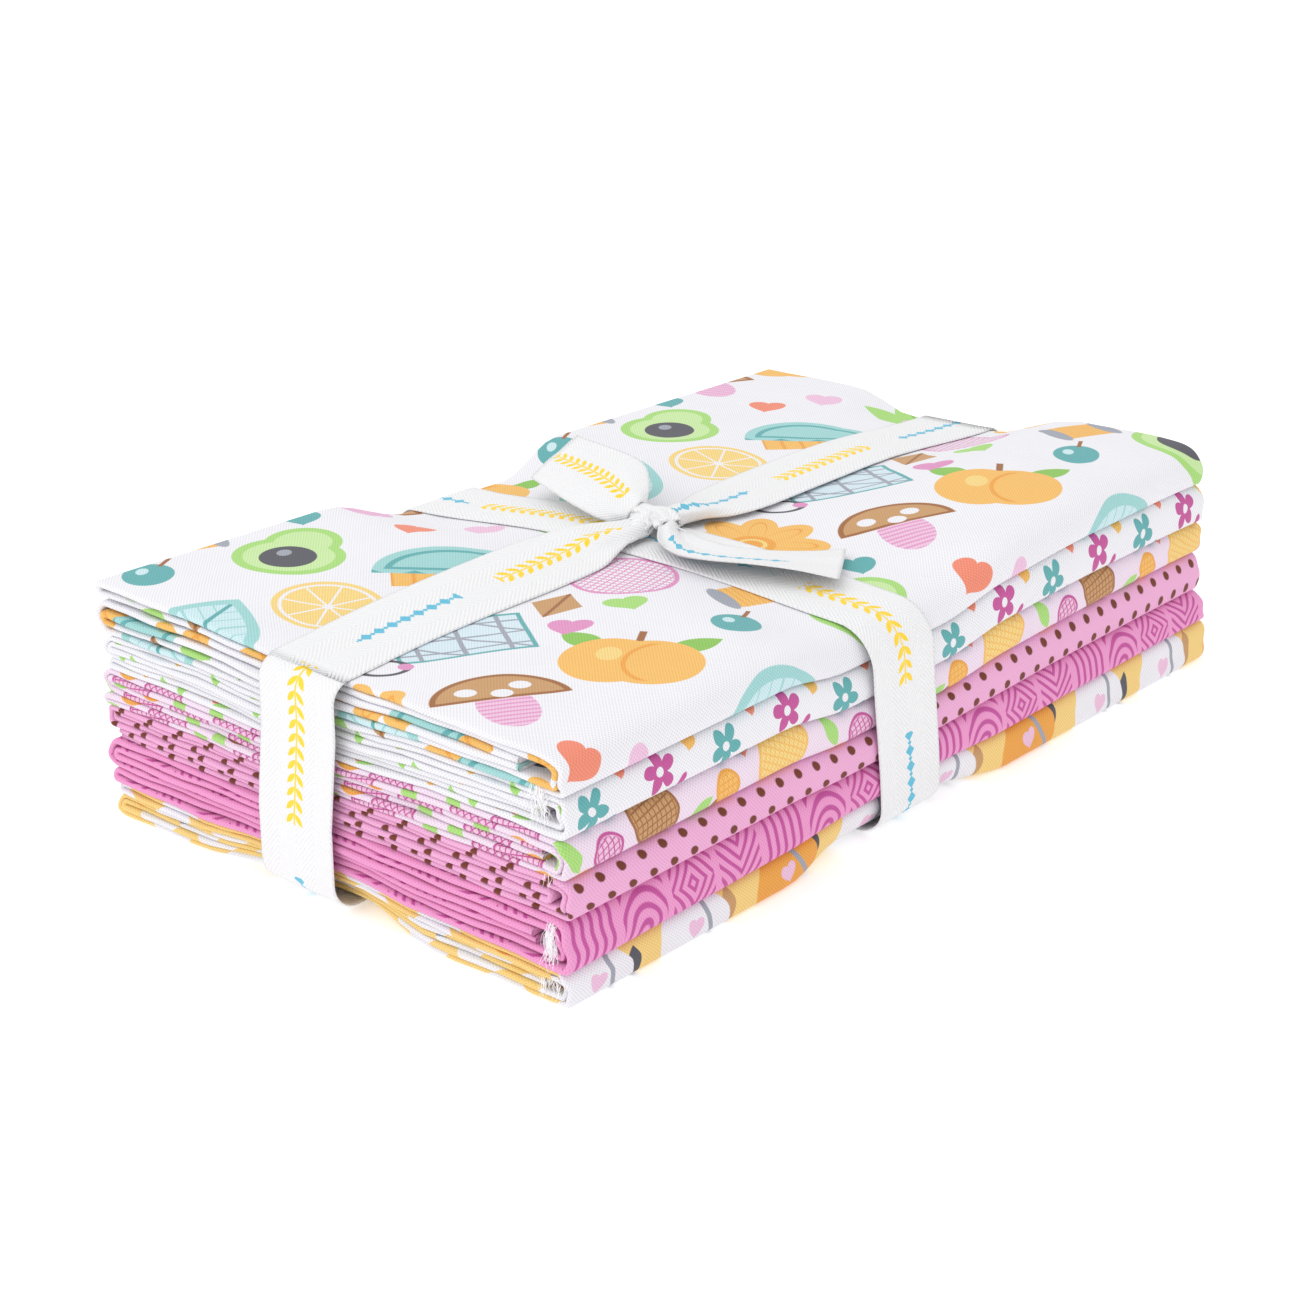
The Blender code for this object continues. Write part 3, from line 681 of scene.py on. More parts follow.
def free_end_grid(edges, gathers, crown, arch):
    """A free end of the tape between its two edges, as (row, column, 3).

    The height above the cloth goes from one edge's to the other's, plus a soft arch and the sines of
    the gathers, which fade as the tape fans out. Where it is drawn together, the tape bows
    by the crown, which eases from its first to its second value along the first third: up between
    its edges, or down into a channel where the crown is negative.
    """
    line = through(edges, END_STEPS)
    left_x, left_y, left_up, right_x, right_y, right_up = (line[:, [k]] for k in range(6))
    wide = np.hypot(right_x - left_x, right_y - left_y)
    drawn = ease(DRAWN_FAST * (1 - wide / TAPE_WIDTH))
    t = ACROSS_TAPE
    side, bow = bowed(t, drawn)
    share = (side + 1) / 2
    x = between(left_x, right_x, share)
    y = between(left_y, right_y, share)
    along = np.linspace(0, 1, len(line))[:, None]
    folds = gathers * MM * drawn * np.sin(END_FOLDS_ACROSS * t + END_FOLDS_ALONG * along)
    bows = between(*crown, ease(END_BOW_FAST * along)) * MM * drawn * (bow - END_BOW_MIDDLE)
    up = between(left_up, right_up, share) + arch * MM * (1 - t * t) + bows + folds
    return np.stack([x, y, stack_heights(x, y)[-1] + up], -1)


def knot_turn_grid(stations, half, tall):
    """One drawn-together turn of the tape in the knot: a bowed, pleated ribbon along a smooth path.

    Its section is an arc with the half width half and the height tall. A sine makes it larger in the
    middle of the turn, and another makes pleats across it that wander along it.
    """
    path = through(stations, KNOT_STEPS)
    ahead = tangent(path[None], 1)[0]
    side = unit(np.cross(ahead, (0, 0, 1)))
    up = np.cross(side, ahead)
    t = ACROSS_TAPE[..., None]
    across, bow = bowed(t, KNOT_ARC)
    along = np.linspace(0, 1, len(path))[:, None, None]
    swell = 1 + KNOT_SWELL * np.sin(math.pi * along)
    pleats = 1 + KNOT_PLEATS * np.sin(PLEATS_ACROSS * t + PLEATS_ALONG * along)
    lift = half * MM * swell * pleats * across
    rise = tall * MM * swell * pleats * (bow - 0.5)
    return path[:, None] - lift * side[:, None] + rise * up[:, None]


def tape_object(name, grid, closed=False, flip=False, print_from=0.0):
    """A tape from the grid of its middle surface: both faces and its edges, as one closed mesh.

    The texture runs in metres, across the tape from its middle line and along it from print_from.
    """
    rows, columns = grid.shape[:2]
    around = np.concatenate([grid[-1:], grid, grid[:1]]) if closed else grid
    lengthwise = tangent(around, 0)
    lengthwise = lengthwise[1:-1] if closed else lengthwise
    normal = unit(np.cross(lengthwise, tangent(grid, 1)))
    normal = -normal if flip else normal
    middle = grid[:, columns // 2]
    steps = np.linalg.norm(np.diff(middle, axis=0, append=middle[:1]), axis=-1)
    along = print_from + np.concatenate([[0], np.cumsum(steps)])
    half = TAPE_THICK / 2 * (1 - EDGE_THINNER * (np.abs(ACROSS_TAPE) > 0.99))[..., None]
    loop = np.concatenate([grid + half * normal, (grid - half * normal)[:, ::-1]], axis=1)
    across = ACROSS_TAPE[0] * TAPE_WIDTH / 2
    u = np.concatenate([across, across[::-1]])
    count = rows if closed else rows - 1
    wide = 2 * columns
    first, second = np.meshgrid(np.arange(count), np.arange(wide), indexing="ij")
    quads = wrapped_quads(first, second, wide, rows)
    uv = quad_places(u[second], u[(second + 1) % wide], along[first], along[first + 1])
    extra, extra_uv = (), None
    if not closed:
        k = np.arange(columns - 1)
        near = np.stack([k, wide - 1 - k, wide - 2 - k, k + 1], -1)
        far = near[:, ::-1] + (rows - 1) * wide
        extra = near.tolist() + far.tolist()
        flat_u = u[np.concatenate([near.ravel(), near[:, ::-1].ravel()])]
        flat_v = np.repeat([along[0], along[rows - 1]], near.size)
        extra_uv = np.stack([flat_u, flat_v], -1)
    obj = mesh_object(name, loop.reshape(-1, 3), quads, uv, extra, extra_uv)
    return obj, along[count] - print_from


# Loose threads at cut corners, in mm: the middle of a tuft, its half spread, how many and how long
Tuft = namedtuple("Tuft", "cut x y height spread_y spread_z count longest")
TUFTS = (
    Tuft("cut_scattered", -135.6, -70.6, 50.2, 2.4, 3.4, 70, 4.4),
    Tuft("cut_lattice", -135.2, -72.5, 33.6, 2.0, 1.6, 24, 3.6),
    Tuft("cut_hot_pink", -135.9, -73.6, 17.0, 1.5, 4.0, 130, 4.4),
    Tuft("cut_yellow", -135.5, -73.5, 6.4, 3.0, 1.4, 50, 3.6),
)
THREAD_RADIUS = 0.08 * MM
THREAD_STATIONS, THREAD_SIDES = 9, 4
THREAD_SPREAD_X = 0.3
THREAD_AIM, AIM_SCATTER = (-0.36, -0.26, -0.88), 0.22
THREAD_BEND, THREAD_FALL = 0.2, -0.25
THREAD_TAPER = 0.6
ANY_SIDE = (0.3, 0.9, 0.2)


def tuft_mesh(tuft, seed):
    """Loose ends of thread in one mesh, each a thin closed tube with four sides.

    A thread starts near the cut corner and its middle line is start + reach s aim, plus a bend that
    follows sin(curl s) sideways and a fall that follows s**2. The tube thins towards its tip.
    """
    rng = np.random.default_rng(seed)
    count, steps, sides = tuft.count, THREAD_STATIONS, THREAD_SIDES
    s = np.linspace(0, 1, steps)[None, :, None]
    spread_by = np.array([THREAD_SPREAD_X, tuft.spread_y, tuft.spread_z])
    start = np.array([tuft.x, tuft.y, tuft.height]) + spread_by * rng.uniform(-1, 1, (count, 1, 3))
    aim = unit(np.array(THREAD_AIM) + AIM_SCATTER * rng.normal(size=(count, 1, 3)))
    reach = tuft.longest * rng.uniform(0.35, 1, (count, 1, 1))
    bend = unit(rng.normal(size=(count, 1, 3))) * THREAD_BEND * reach
    curl = rng.uniform(2, 6, (count, 1, 1))
    fall = np.array([0, 0, THREAD_FALL]) * reach * s * s
    line = (start + reach * s * aim + bend * np.sin(curl * s) + fall) * MM
    ahead = tangent(line, 1)
    side = unit(np.cross(ahead, ANY_SIDE))
    other = np.cross(ahead, side)
    angle = np.arange(sides) * 2 * math.pi / sides
    radius = THREAD_RADIUS * (1 - THREAD_TAPER * s)[..., None]
    ring = side[:, :, None] * np.cos(angle)[:, None] + other[:, :, None] * np.sin(angle)[:, None]
    points = (line[:, :, None] + radius * ring).reshape(-1, 3)
    places = np.arange(count), np.arange(steps - 1), np.arange(sides)
    thread, step, corner = np.meshgrid(*places, indexing="ij")
    quads = wrapped_quads(thread * steps + step, corner, sides)
    first = np.arange(count)[:, None] * steps * sides
    tips = [first + [3, 2, 1, 0], first + (steps - 1) * sides + [0, 1, 2, 3]]
    faces = np.concatenate([quads, *tips])
    return mesh_object(tuft.cut + "_threads", points, faces, np.zeros((faces.size, 2)))


# Shader arithmetic
EDGE_SOFT = 0.22


def operator_pair(operation):
    """A Python operator as a Math node, and its reflected form with the two operands changed round."""
    def plain(self, other):
        return self.tree.add("Math", {"operation": operation}, self, other)

    def reflected(self, other):
        return self.tree.add("Math", {"operation": operation}, other, self)

    return plain, reflected


class Value:
    """A shader socket. Arithmetic on it adds Math nodes to its tree."""

    __add__, __radd__ = operator_pair("ADD")
    __sub__, __rsub__ = operator_pair("SUBTRACT")
    __mul__, __rmul__ = operator_pair("MULTIPLY")
    __truediv__, __rtruediv__ = operator_pair("DIVIDE")
    __pow__, __rpow__ = operator_pair("POWER")

    def __init__(self, tree, socket):
        self.tree = tree
        self.socket = socket

    def __abs__(self):
        return self.math("ABSOLUTE")

    def math(self, operation, *others, clamp=False):
        """A Math node of any operation, with this value first."""
        return self.tree.add("Math", {"operation": operation, "use_clamp": clamp}, self, *others)

    def inside(self, soft=EDGE_SOFT):
        """1 where the value is under 0, with a soft edge, and 0 where it is over."""
        return self.math("MULTIPLY_ADD", -1 / soft, 0.5, clamp=True)

    def line(self, half, soft=EDGE_SOFT):
        """1 where the value is within half of 0, with soft edges."""
        return (abs(self) - half).inside(soft)

    def least(self, other):
        """The smaller of two values: two shapes in one."""
        return self.math("MINIMUM", other)

    def most(self, other):
        """The larger of two values: what two shapes share."""
        return self.math("MAXIMUM", other)

    def wave(self, period, phase=0.0):
        """Sine of the value over a period."""
        return self.math("MULTIPLY_ADD", 2 * math.pi / period, phase).math("SINE")


class Finish:
    """The node tree of one material: its Principled shader and short calls that add nodes."""

    def __init__(self, name):
        self.material = bpy.data.materials.new(name)
        self.material.use_nodes = True
        self.nodes = self.material.node_tree.nodes
        self.links = self.material.node_tree.links
        self.shader = self.nodes["Principled BSDF"]

    def add(self, kind, settings, *values, out=0, **named):
        """Adds a node of a type: its settings first, then the values or links of its sockets."""
        node = self.nodes.new("ShaderNode" + kind)
        for key, value in settings.items():
            setattr(node, key, value)
        for key, value in [*enumerate(values), *named.items()]:
            self.put(node.inputs[key], value)
        return Value(self, node.outputs[out])

    def put(self, socket, value):
        """Links a value to a socket, or sets the socket to a number, a vector or a colour."""
        if isinstance(value, Value):
            self.links.new(value.socket, socket)
        elif socket.type == "RGBA":
            socket.default_value = (*value, 1)
        else:
            socket.default_value = value

    def surface(self, **values):
        """Fills sockets of the Principled shader. An underscore is a space in a socket's name."""
        for name, value in values.items():
            self.put(self.shader.inputs[name.replace("_", " ")], value)

    def mix(self, factor, first, second):
        """Colour that goes from first to second as the factor goes from 0 to 1."""
        node = self.nodes.new("ShaderNodeMix")
        node.data_type = "RGBA"
        for index, value in ((0, factor), (6, first), (7, second)):
            self.put(node.inputs[index], value)
        return Value(self, node.outputs[2])

    def vector(self, operation, *values, out=0):
        """A Vector Math node. Its second output is the one that holds a length."""
        return self.add("VectorMath", {"operation": operation}, *values, out=out)

    def parts(self, vector):
        """X and Y of a vector."""
        x = self.add("SeparateXYZ", {}, vector)
        return x, Value(self, x.socket.node.outputs[1])

    def flat(self):
        """Place on the unfolded cloth, in millimetres."""
        place = self.add("UVMap", {"uv_map": "cloth"})
        return self.vector("MULTIPLY", place, (1 / MM, 1 / MM, 0))


class Repeat:
    """A half-drop repeat of a print: a motif's own coordinates about its centre in every tile."""

    def __init__(self, finish, place, tile):
        self.finish = finish
        self.tile = tile
        self.across, self.along = finish.parts(place)

    def at(self, x, y, turn=0.0):
        """A motif about x, y of every tile, turned by degrees. Every other row is half a tile over."""
        wide, tall = self.tile
        row = self.along.math("MULTIPLY_ADD", 1 / tall, 0.5 - y / tall).math("FLOOR")
        shifted = row.math("MULTIPLY_ADD", wide / 2, -x) + self.across
        place = self.finish.add("CombineXYZ", {}, shifted, self.along - y)
        half = (wide / 2, tall / 2, 1)
        local = self.finish.vector("WRAP", place, half, (-wide / 2, -tall / 2, -1))
        if turn:
            about_z = {"rotation_type": "Z_AXIS"}
            local = self.finish.add("VectorRotate", about_z, Vector=local, Angle=math.radians(turn))
        return Motif(self.finish, local)


class Motif:
    """Shapes about a motif's centre. Each is under 0 inside, roughly in millimetres."""

    def __init__(self, finish, local):
        self.finish = finish
        self.local = local
        self.x, self.y = finish.parts(local)

    def oval(self, x, y, wide, tall):
        """An oval about x, y with the half sizes wide and tall."""
        moved = self.finish.vector("SUBTRACT", self.local, (x, y, 0))
        scaled = self.finish.vector("MULTIPLY", moved, (1 / wide, 1 / tall, 0))
        distance = self.finish.vector("LENGTH", scaled, out=1)
        return (distance - 1) * min(wide, tall)

    def distance(self):
        """Distance from the centre."""
        return self.finish.vector("LENGTH", self.local, out=1)

    def angle(self):
        """Angle about the centre, in radians."""
        return self.y.math("ARCTAN2", self.x)

    def petals(self, count, reach, waist):
        """A round flower: the edge goes in and out between the reach and its share waist."""
        lobes = abs((self.angle() * (count / 2)).math("COSINE"))
        return self.distance() - lobes.math("MULTIPLY_ADD", reach * (1 - waist), reach * waist)

    def leaf(self, x, y, wide, tall):
        """A leaf along Y, pointed at both ends: its half width falls off as 1 - y**2."""
        along = (self.y - y) / tall
        return abs(self.x - x) - wide * (1 - along * along)

    def heart(self, size):
        """x**2 + (1.25 y - 0.75 sqrt|x|)**2 is under 1 inside a heart."""
        x, y = self.x / size, self.y / size
        lobe = 1.25 * y - 0.75 * abs(x) ** 0.5
        return (x * x + lobe * lobe - 1) * (size / 2)

    def box(self, x, y, wide, tall):
        """A box about x, y with the half sizes wide and tall."""
        return (abs(self.x - x) - wide).most(abs(self.y - y) - tall)

    def lattice(self, pitch, thin):
        """Two sets of slanting lines, the pitch apart along X, where a sine is within thin of 0."""
        first = abs((self.x + self.y).wave(2 * pitch))
        second = abs((self.x - self.y).wave(2 * pitch))
        return first.least(second) - thin


def layered(finish, ground, layers):
    """Colour of a print: each layer is a mask and the colour that it puts over those before."""
    colour = ground
    for mask, ink in layers:
        colour = finish.mix(mask, colour, ink)
    return colour


# Prints. A motif stands at its place in the repeat, with its turn in degrees, and its sizes follow.
WHITE = (0.85, 0.845, 0.885)
AMBER = (0.89, 0.51, 0.14)
ORANGE = (0.84, 0.38, 0.07)
YELLOW = (0.90, 0.66, 0.24)
TEAL = (0.13, 0.42, 0.43)
AQUA = (0.36, 0.66, 0.65)
PALE_AQUA = (0.60, 0.80, 0.84)
GLASS = (0.66, 0.79, 0.86)
LIME = (0.40, 0.70, 0.20)
PALE_LIME = (0.58, 0.80, 0.38)
DARK_LIME = (0.27, 0.55, 0.11)
BROWN = (0.36, 0.15, 0.06)
DARK_BROWN = (0.17, 0.04, 0.02)
TAN = (0.58, 0.33, 0.15)
PINK = (0.74, 0.30, 0.54)
PALE_PINK = (0.84, 0.54, 0.72)
HOT_PINK = (0.84, 0.33, 0.60)
DEEP_PINK = (0.55, 0.09, 0.34)
CORAL = (0.86, 0.27, 0.18)
MAGENTA = (0.56, 0.10, 0.33)
GREY = (0.10, 0.10, 0.12)
MID_GREY = (0.36, 0.38, 0.44)
LATTICE_GROUND = (0.85, 0.71, 0.83)
DOTTED_GROUND = (0.84, 0.42, 0.66)
PEBBLE_GROUND = (0.90, 0.64, 0.23)


def daisy(repeat):
    """Amber petals with rays, and an eye with a ring in it."""
    flower = repeat.at(83, 78, 50)
    petals = flower.petals(9, 17.5, 0.72).inside()
    rays = flower.petals(9, 14.5, 0.10).line(0.45) * petals
    eye = flower.oval(0, 0, 5.4, 5.4).inside()
    return [(petals, AMBER), (rays, ORANGE), (eye, ORANGE), (flower.oval(0, 0, 3, 3).line(0.5), YELLOW)]


def pond_leaf(repeat):
    """A large pale leaf with a rim, a midrib and slanting veins."""
    leaf = repeat.at(29, 20, 72)
    core = leaf.leaf(0, 0, 9.4, 15.5).inside()
    veins = (abs(abs(leaf.x) * 1.1 - leaf.y).math("MODULO", 4.8) - 0.5).inside() * core
    whole = leaf.leaf(0, 0, 12, 18.5).inside()
    return [(whole, AQUA), (core, PALE_AQUA), (veins, AQUA), (leaf.x.line(0.5) * core, TEAL)]


def sprig(repeat):
    """Three leaves that start from a small flower."""
    middle = repeat.at(1, 0, 40)
    side = repeat.at(1, 0, 92).leaf(0, 7.6, 4.2, 9.6)
    other = repeat.at(1, 0, -12).leaf(0, 7.4, 4, 9.4)
    green = middle.leaf(0, 8, 4.4, 10).least(side).least(other).inside()
    flower, eye = middle.petals(5, 5, 0.6).inside(), middle.oval(0, 0, 1.8, 1.8).inside()
    return [(green, LIME), (middle.x.line(0.4) * green, DARK_LIME), (flower, PALE_PINK), (eye, MAGENTA)]


def citrus_slice(repeat):
    """A yellow disc with a white rim and eight white spokes."""
    piece = repeat.at(59, 12, 60)
    disc = piece.oval(0, 0, 12, 12)
    spokes = abs((piece.angle() * 4).math("SINE")) * piece.distance() - 1.0
    white = spokes.inside() * (disc + 2.2).inside()
    return [(disc.inside(), YELLOW), ((disc + 1.8).line(0.4), WHITE), (white, WHITE)]


def umbrella(repeat):
    """A dome with an arc and scallops in it, over a handle and a striped panel."""
    shade = repeat.at(93, 8, 42)
    dome = shade.oval(0, -3, 18.5, 15).most(-3 - shade.y)
    cover = dome.inside()
    below = shade.box(0, -6.2, 14.5, 3.4).inside()
    handle = shade.box(0.5, -10, 1.0, 6).inside()
    stripes = (shade.x.math("PINGPONG", 2.4) - 0.45).inside() * below
    scallops = (shade.y + 1.4 + 2.0 * abs(shade.x.wave(18.5))).inside() * cover
    return [(handle, BROWN), (below, AMBER), (stripes, ORANGE), (cover, AQUA),
            ((dome + 2.6).line(0.6) * cover, TEAL), (scallops, TEAL)]


def pear(repeat):
    """A cut pear: two ovals in one, with a pale inside and a dark core."""
    fruit = repeat.at(74, 39, 62)
    hull = fruit.oval(0, -3, 12.4, 11.5).least(fruit.oval(0, 6, 8.6, 9.5))
    core, glint = fruit.oval(0, -3.5, 6.2, 6.6).inside(), fruit.oval(-1.6, -1.4, 1.6, 2).inside()
    return [(hull.inside(), LIME), ((hull + 2.2).inside(), PALE_LIME), (core, GREY), (glint, MID_GREY)]


def netted_ball(repeat):
    """A pink ring filled with a net."""
    ball = repeat.at(49, 86, 33)
    edge = ball.oval(0, 0, 11.5, 11.5)
    return [(edge.inside() * ball.lattice(2.2, 0.40).inside(0.3), PINK), (edge.line(0.5), PINK)]


def mushroom(repeat):
    """A tan cap with white spots on a striped stem."""
    cap = repeat.at(110, 57, 30)
    top = cap.oval(0, 1, 14, 11.5).most(1 - cap.y)
    stem = cap.oval(0, -3, 6, 9).most(cap.y - 1).inside()
    spots = [cap.oval(x, y, 2.2, 1.8).inside() for x, y in ((-6, 5.4), (5, 6.4), (0.6, 3.4))]
    stripes = cap.y.wave(3.4).line(0.5, 0.5) * stem
    layers = [(stem, PALE_PINK), (stripes, PINK), (top.inside(), TAN), ((top + 0.6).line(0.5), BROWN)]
    return layers + [(spot, WHITE) for spot in spots]


def glazed_panel(repeat):
    """A box of pale glass with straight and slanting bars."""
    pane = repeat.at(1, 88, 36)
    edge = pane.box(0, 0, 14, 10.5)
    bars = abs(pane.x.wave(18.6)).least(abs(pane.y.wave(14))) * 4 - 0.7
    slants = abs((pane.x * 0.75 + pane.y).wave(21)) * 4 - 0.6
    lines = (edge + 0.4).inside() * bars.least(slants).inside()
    return [(edge.inside(), GLASS), (edge.line(0.5), TEAL), (lines, MID_GREY)]


def peach(repeat):
    """Two ovals in one with a cheek line and a glint, under a stalk with two leaves."""
    fruit = repeat.at(13, 52, 58)
    hull = fruit.oval(-4, -1, 10.5, 11).least(fruit.oval(4, -1, 10.5, 11))
    cheek = fruit.oval(7.5, -1, 9, 10.5).line(0.5) * (hull + 1.5).inside()
    first, second = (repeat.at(13, 52, turn).leaf(0, 14, 3.2, 6.6) for turn in (5, 110))
    stalk, glint = fruit.box(0, 11.5, 0.8, 3).inside(), fruit.oval(-5, 2, 2.6, 3.4).inside()
    return [(first.least(second).inside(), DARK_LIME), (stalk, BROWN),
            (hull.inside(), AMBER), (cheek, ORANGE), (glint, YELLOW)]


def spool(repeat):
    """Amber thread wound between two grey ends."""
    reel = repeat.at(61, 60, 20)
    wound = reel.box(0, 0, 7, 5.2).inside()
    ends = [(reel.oval(x, 0, 2.1, 6.2).inside(), MID_GREY) for x in (-7.4, 7.4)]
    return [(wound, AMBER), (reel.x.wave(2.8).line(0.3) * wound, ORANGE)] + ends


def small_hearts(repeat):
    """Hearts in six colours between the larger motifs."""
    places = (
        (102, 31, 60, CORAL), (85, 102, 20, LIME), (17, 73, 62, PINK),
        (89, 53, 35, TEAL), (117, 24, 60, PALE_PINK), (35, 72, 30, LIME),
    )
    return [(repeat.at(x, y, turn).heart(4.8).inside(), ink) for x, y, turn, ink in places]


def jewel_ring(repeat):
    """A grey oval ring with a pink stone."""
    ring = repeat.at(107, 89, 40)
    return [(ring.oval(0, 0, 5.6, 4).line(0.55), GREY), (ring.oval(5, 0, 1.8, 1.8).inside(), PINK)]


def plum(repeat):
    """A teal oval with a glint and a slanting stalk."""
    fruit = repeat.at(43, 50, 55)
    stalk = (abs(fruit.x - 0.16 * fruit.y) - 0.5).most(abs(fruit.y - 8) - 2.6).inside()
    hull, glint = fruit.oval(0, 0, 5.4, 6.6).inside(), fruit.oval(-1.8, 1.6, 1.3, 2).inside()
    return [(hull, TEAL), (glint, PALE_AQUA), (stalk, BROWN)]


def kite(repeat):
    """A tan diamond with a spar."""
    toy = repeat.at(27, 85, 70)
    shape = (abs(toy.x) * 1.3 + abs(toy.y) - 7.5).inside()
    return [(shape, TAN), (toy.x.line(0.45) * shape, BROWN)]


SCATTERED = (
    daisy, pond_leaf, sprig, citrus_slice, umbrella, pear, netted_ball, mushroom,
    glazed_panel, peach, spool, small_hearts, jewel_ring, plum, kite,
)


def scattered_print(finish, place):
    """White with large flowers, leaves, slices, umbrellas, mushrooms, fruit and hearts, well apart.

    The place is scaled so that the print comes out a fifth larger than its sizes say, and shifted.
    """
    place = finish.vector("MULTIPLY_ADD", place, (0.84, 0.84, 0), (-108, -78, 0))
    repeat = Repeat(finish, place, (128, 108))
    return layered(finish, WHITE, [layer for motif in SCATTERED for layer in motif(repeat)])


def blossom_print(finish, place):
    """White with teal and magenta blossoms in turn, and small lime leaves, amber hearts and seeds."""
    repeat = Repeat(finish, place, (46, 25))
    layers = []
    for x, y, turn, ink in ((10.4, -0.6, 15, TEAL), (33.4, 0.8, -25, MAGENTA)):
        flower = repeat.at(x, y, turn)
        leaf = repeat.at(x + 7.5, y - 4.4, turn + 60).oval(0, 0, 1.1, 1.8).inside()
        layers += [(flower.petals(5, 5.3, 0.45).inside(), ink)]
        layers += [(flower.oval(0, 0, 1.2, 1.2).inside(), WHITE), (leaf, ink)]
    for shape, ink in (
        (repeat.at(21.4, 9, -40).leaf(0, 0, 1.9, 4.4), LIME),
        (repeat.at(22.4, -7, 70).leaf(0, 0, 1.7, 3.6), LIME),
        (repeat.at(-1.6, 3.8, 25).heart(2.3), AMBER),
        (repeat.at(21.4, 4.4, 15).heart(1.8), CORAL),
        (repeat.at(11.4, 12.5, 10).oval(0, 0, 1.9, 1.3), TAN),
    ):
        layers.append((shape.inside(), ink))
    return layered(finish, WHITE, layers)


def lattice_print(finish, place):
    """Pale pink with netted ovals in amber, tan, magenta and orange, lime leaves and coral hearts."""
    repeat = Repeat(finish, place, (94, 40))
    layers = []
    for x, y, turn, wide, tall, fill, net in (
        (81, 1, 35, 8.4, 6.6, TAN, BROWN), (34, 0.5, -20, 9.4, 7.2, YELLOW, AMBER),
        (65, -1.8, 20, 4.8, 3.8, PALE_PINK, MAGENTA), (49, 17, 35, 7.6, 7.0, PALE_PINK, MAGENTA),
        (1, 16, 0, 8.2, 7.2, PALE_PINK, MAGENTA), (11, 30, 15, 7.4, 6.2, AMBER, ORANGE),
        (58, 31, 60, 6.4, 5.6, TAN, BROWN), (13, -1.4, 40, 4.4, 3.6, AMBER, ORANGE),
    ):
        shape = repeat.at(x, y, turn)
        hull = shape.oval(0, 0, wide, tall)
        netted = (hull + 0.5).inside() * shape.lattice(2.3, 0.34).inside(0.3)
        layers += [(hull.inside(), fill), (netted, net), (hull.line(0.35), net)]
    for x, y, turn in ((3, -4, 60), (53, 1, -30), (24, 17, 20), (72, 22, 70)):
        layers.append((repeat.at(x, y, turn).leaf(0, 0, 2.2, 5).inside(), LIME))
    for x, y in ((21, 5), (63, 16), (87, 21)):
        layers.append((repeat.at(x, y, 10).heart(2.8).inside(), CORAL))
    return layered(finish, LATTICE_GROUND, layers)


def dotted_print(finish, place):
    """Light pink with brown oval dots in half-drop rows."""
    dot = Repeat(finish, place, (7.2, 5.6)).at(3.5, 2.8, 25).oval(0, 0, 1.4, 1.05)
    return layered(finish, DOTTED_GROUND, [(dot.inside(0.3), DARK_BROWN)])


def stroke_print(finish, place):
    """Pink with bold darker ornaments: bars, arches, diamonds and chevrons in close rows."""
    repeat = Repeat(finish, place, (68, 14))
    bars, arches, diamonds, chevrons = (repeat.at(x, 0) for x in (8, 25, 42, 59))
    ink = 0
    for block, rings in (
        (bars, bars.x.wave(6.0)),
        (arches, arches.oval(0, -5.4, 1, 1.15).wave(5.6, 1.5)),
        (diamonds, (abs(diamonds.x) + abs(diamonds.y)).wave(6.0, 1.5)),
        (chevrons, (abs(chevrons.x) * 0.9 - chevrons.y).wave(6.0)),
    ):
        ink = ink + rings.line(0.60, 0.3) * block.box(0, 0, 7.4, 5.4).inside()
    return finish.mix(ink, HOT_PINK, DEEP_PINK)


def pebble_print(finish, place):
    """Pale yellow with large white and orange pebbles, dark leaf tips, grey bands and pink hearts."""
    repeat = Repeat(finish, place, (104, 46))
    layers = []
    for x, y, turn, ink, tip in (
        (11, -2, 8, WHITE, TAN), (46, -1, -12, ORANGE, GREY), (81, -2, 15, WHITE, GREY),
        (29, 21, 40, WHITE, GREY), (95, 21, -15, WHITE, TAN),
    ):
        pebble = repeat.at(x, y, turn)
        hull = pebble.oval(0, 0, 12.5, 9.5).inside()
        stripe = (pebble.x - 5.5 + 0.4 * pebble.y).line(0.8) * hull
        layers += [(pebble.leaf(11.5, 3, 2.8, 5.4).inside(), tip), (hull, ink)]
        layers += [(stripe, MID_GREY), (pebble.heart(2.8).inside(), PALE_PINK)]
    small = repeat.at(63, 22, 20)
    layers += [(small.oval(0, 0, 8, 6).inside(), ORANGE), (small.heart(2.6).inside(), CORAL)]
    return layered(finish, PEBBLE_GROUND, layers)


PRINTS = {
    "cut_scattered": scattered_print,
    "cut_blossom": blossom_print,
    "cut_lattice": lattice_print,
    "cut_dotted": dotted_print,
    "cut_hot_pink": stroke_print,
    "cut_yellow": pebble_print,
}


def weave_height(finish, place, pitch):
    """Height of a plain weave: threads pass over and under each other in both directions."""
    across, along = finish.parts(place)
    return across.wave(2 * pitch) * along.wave(2 * pitch)


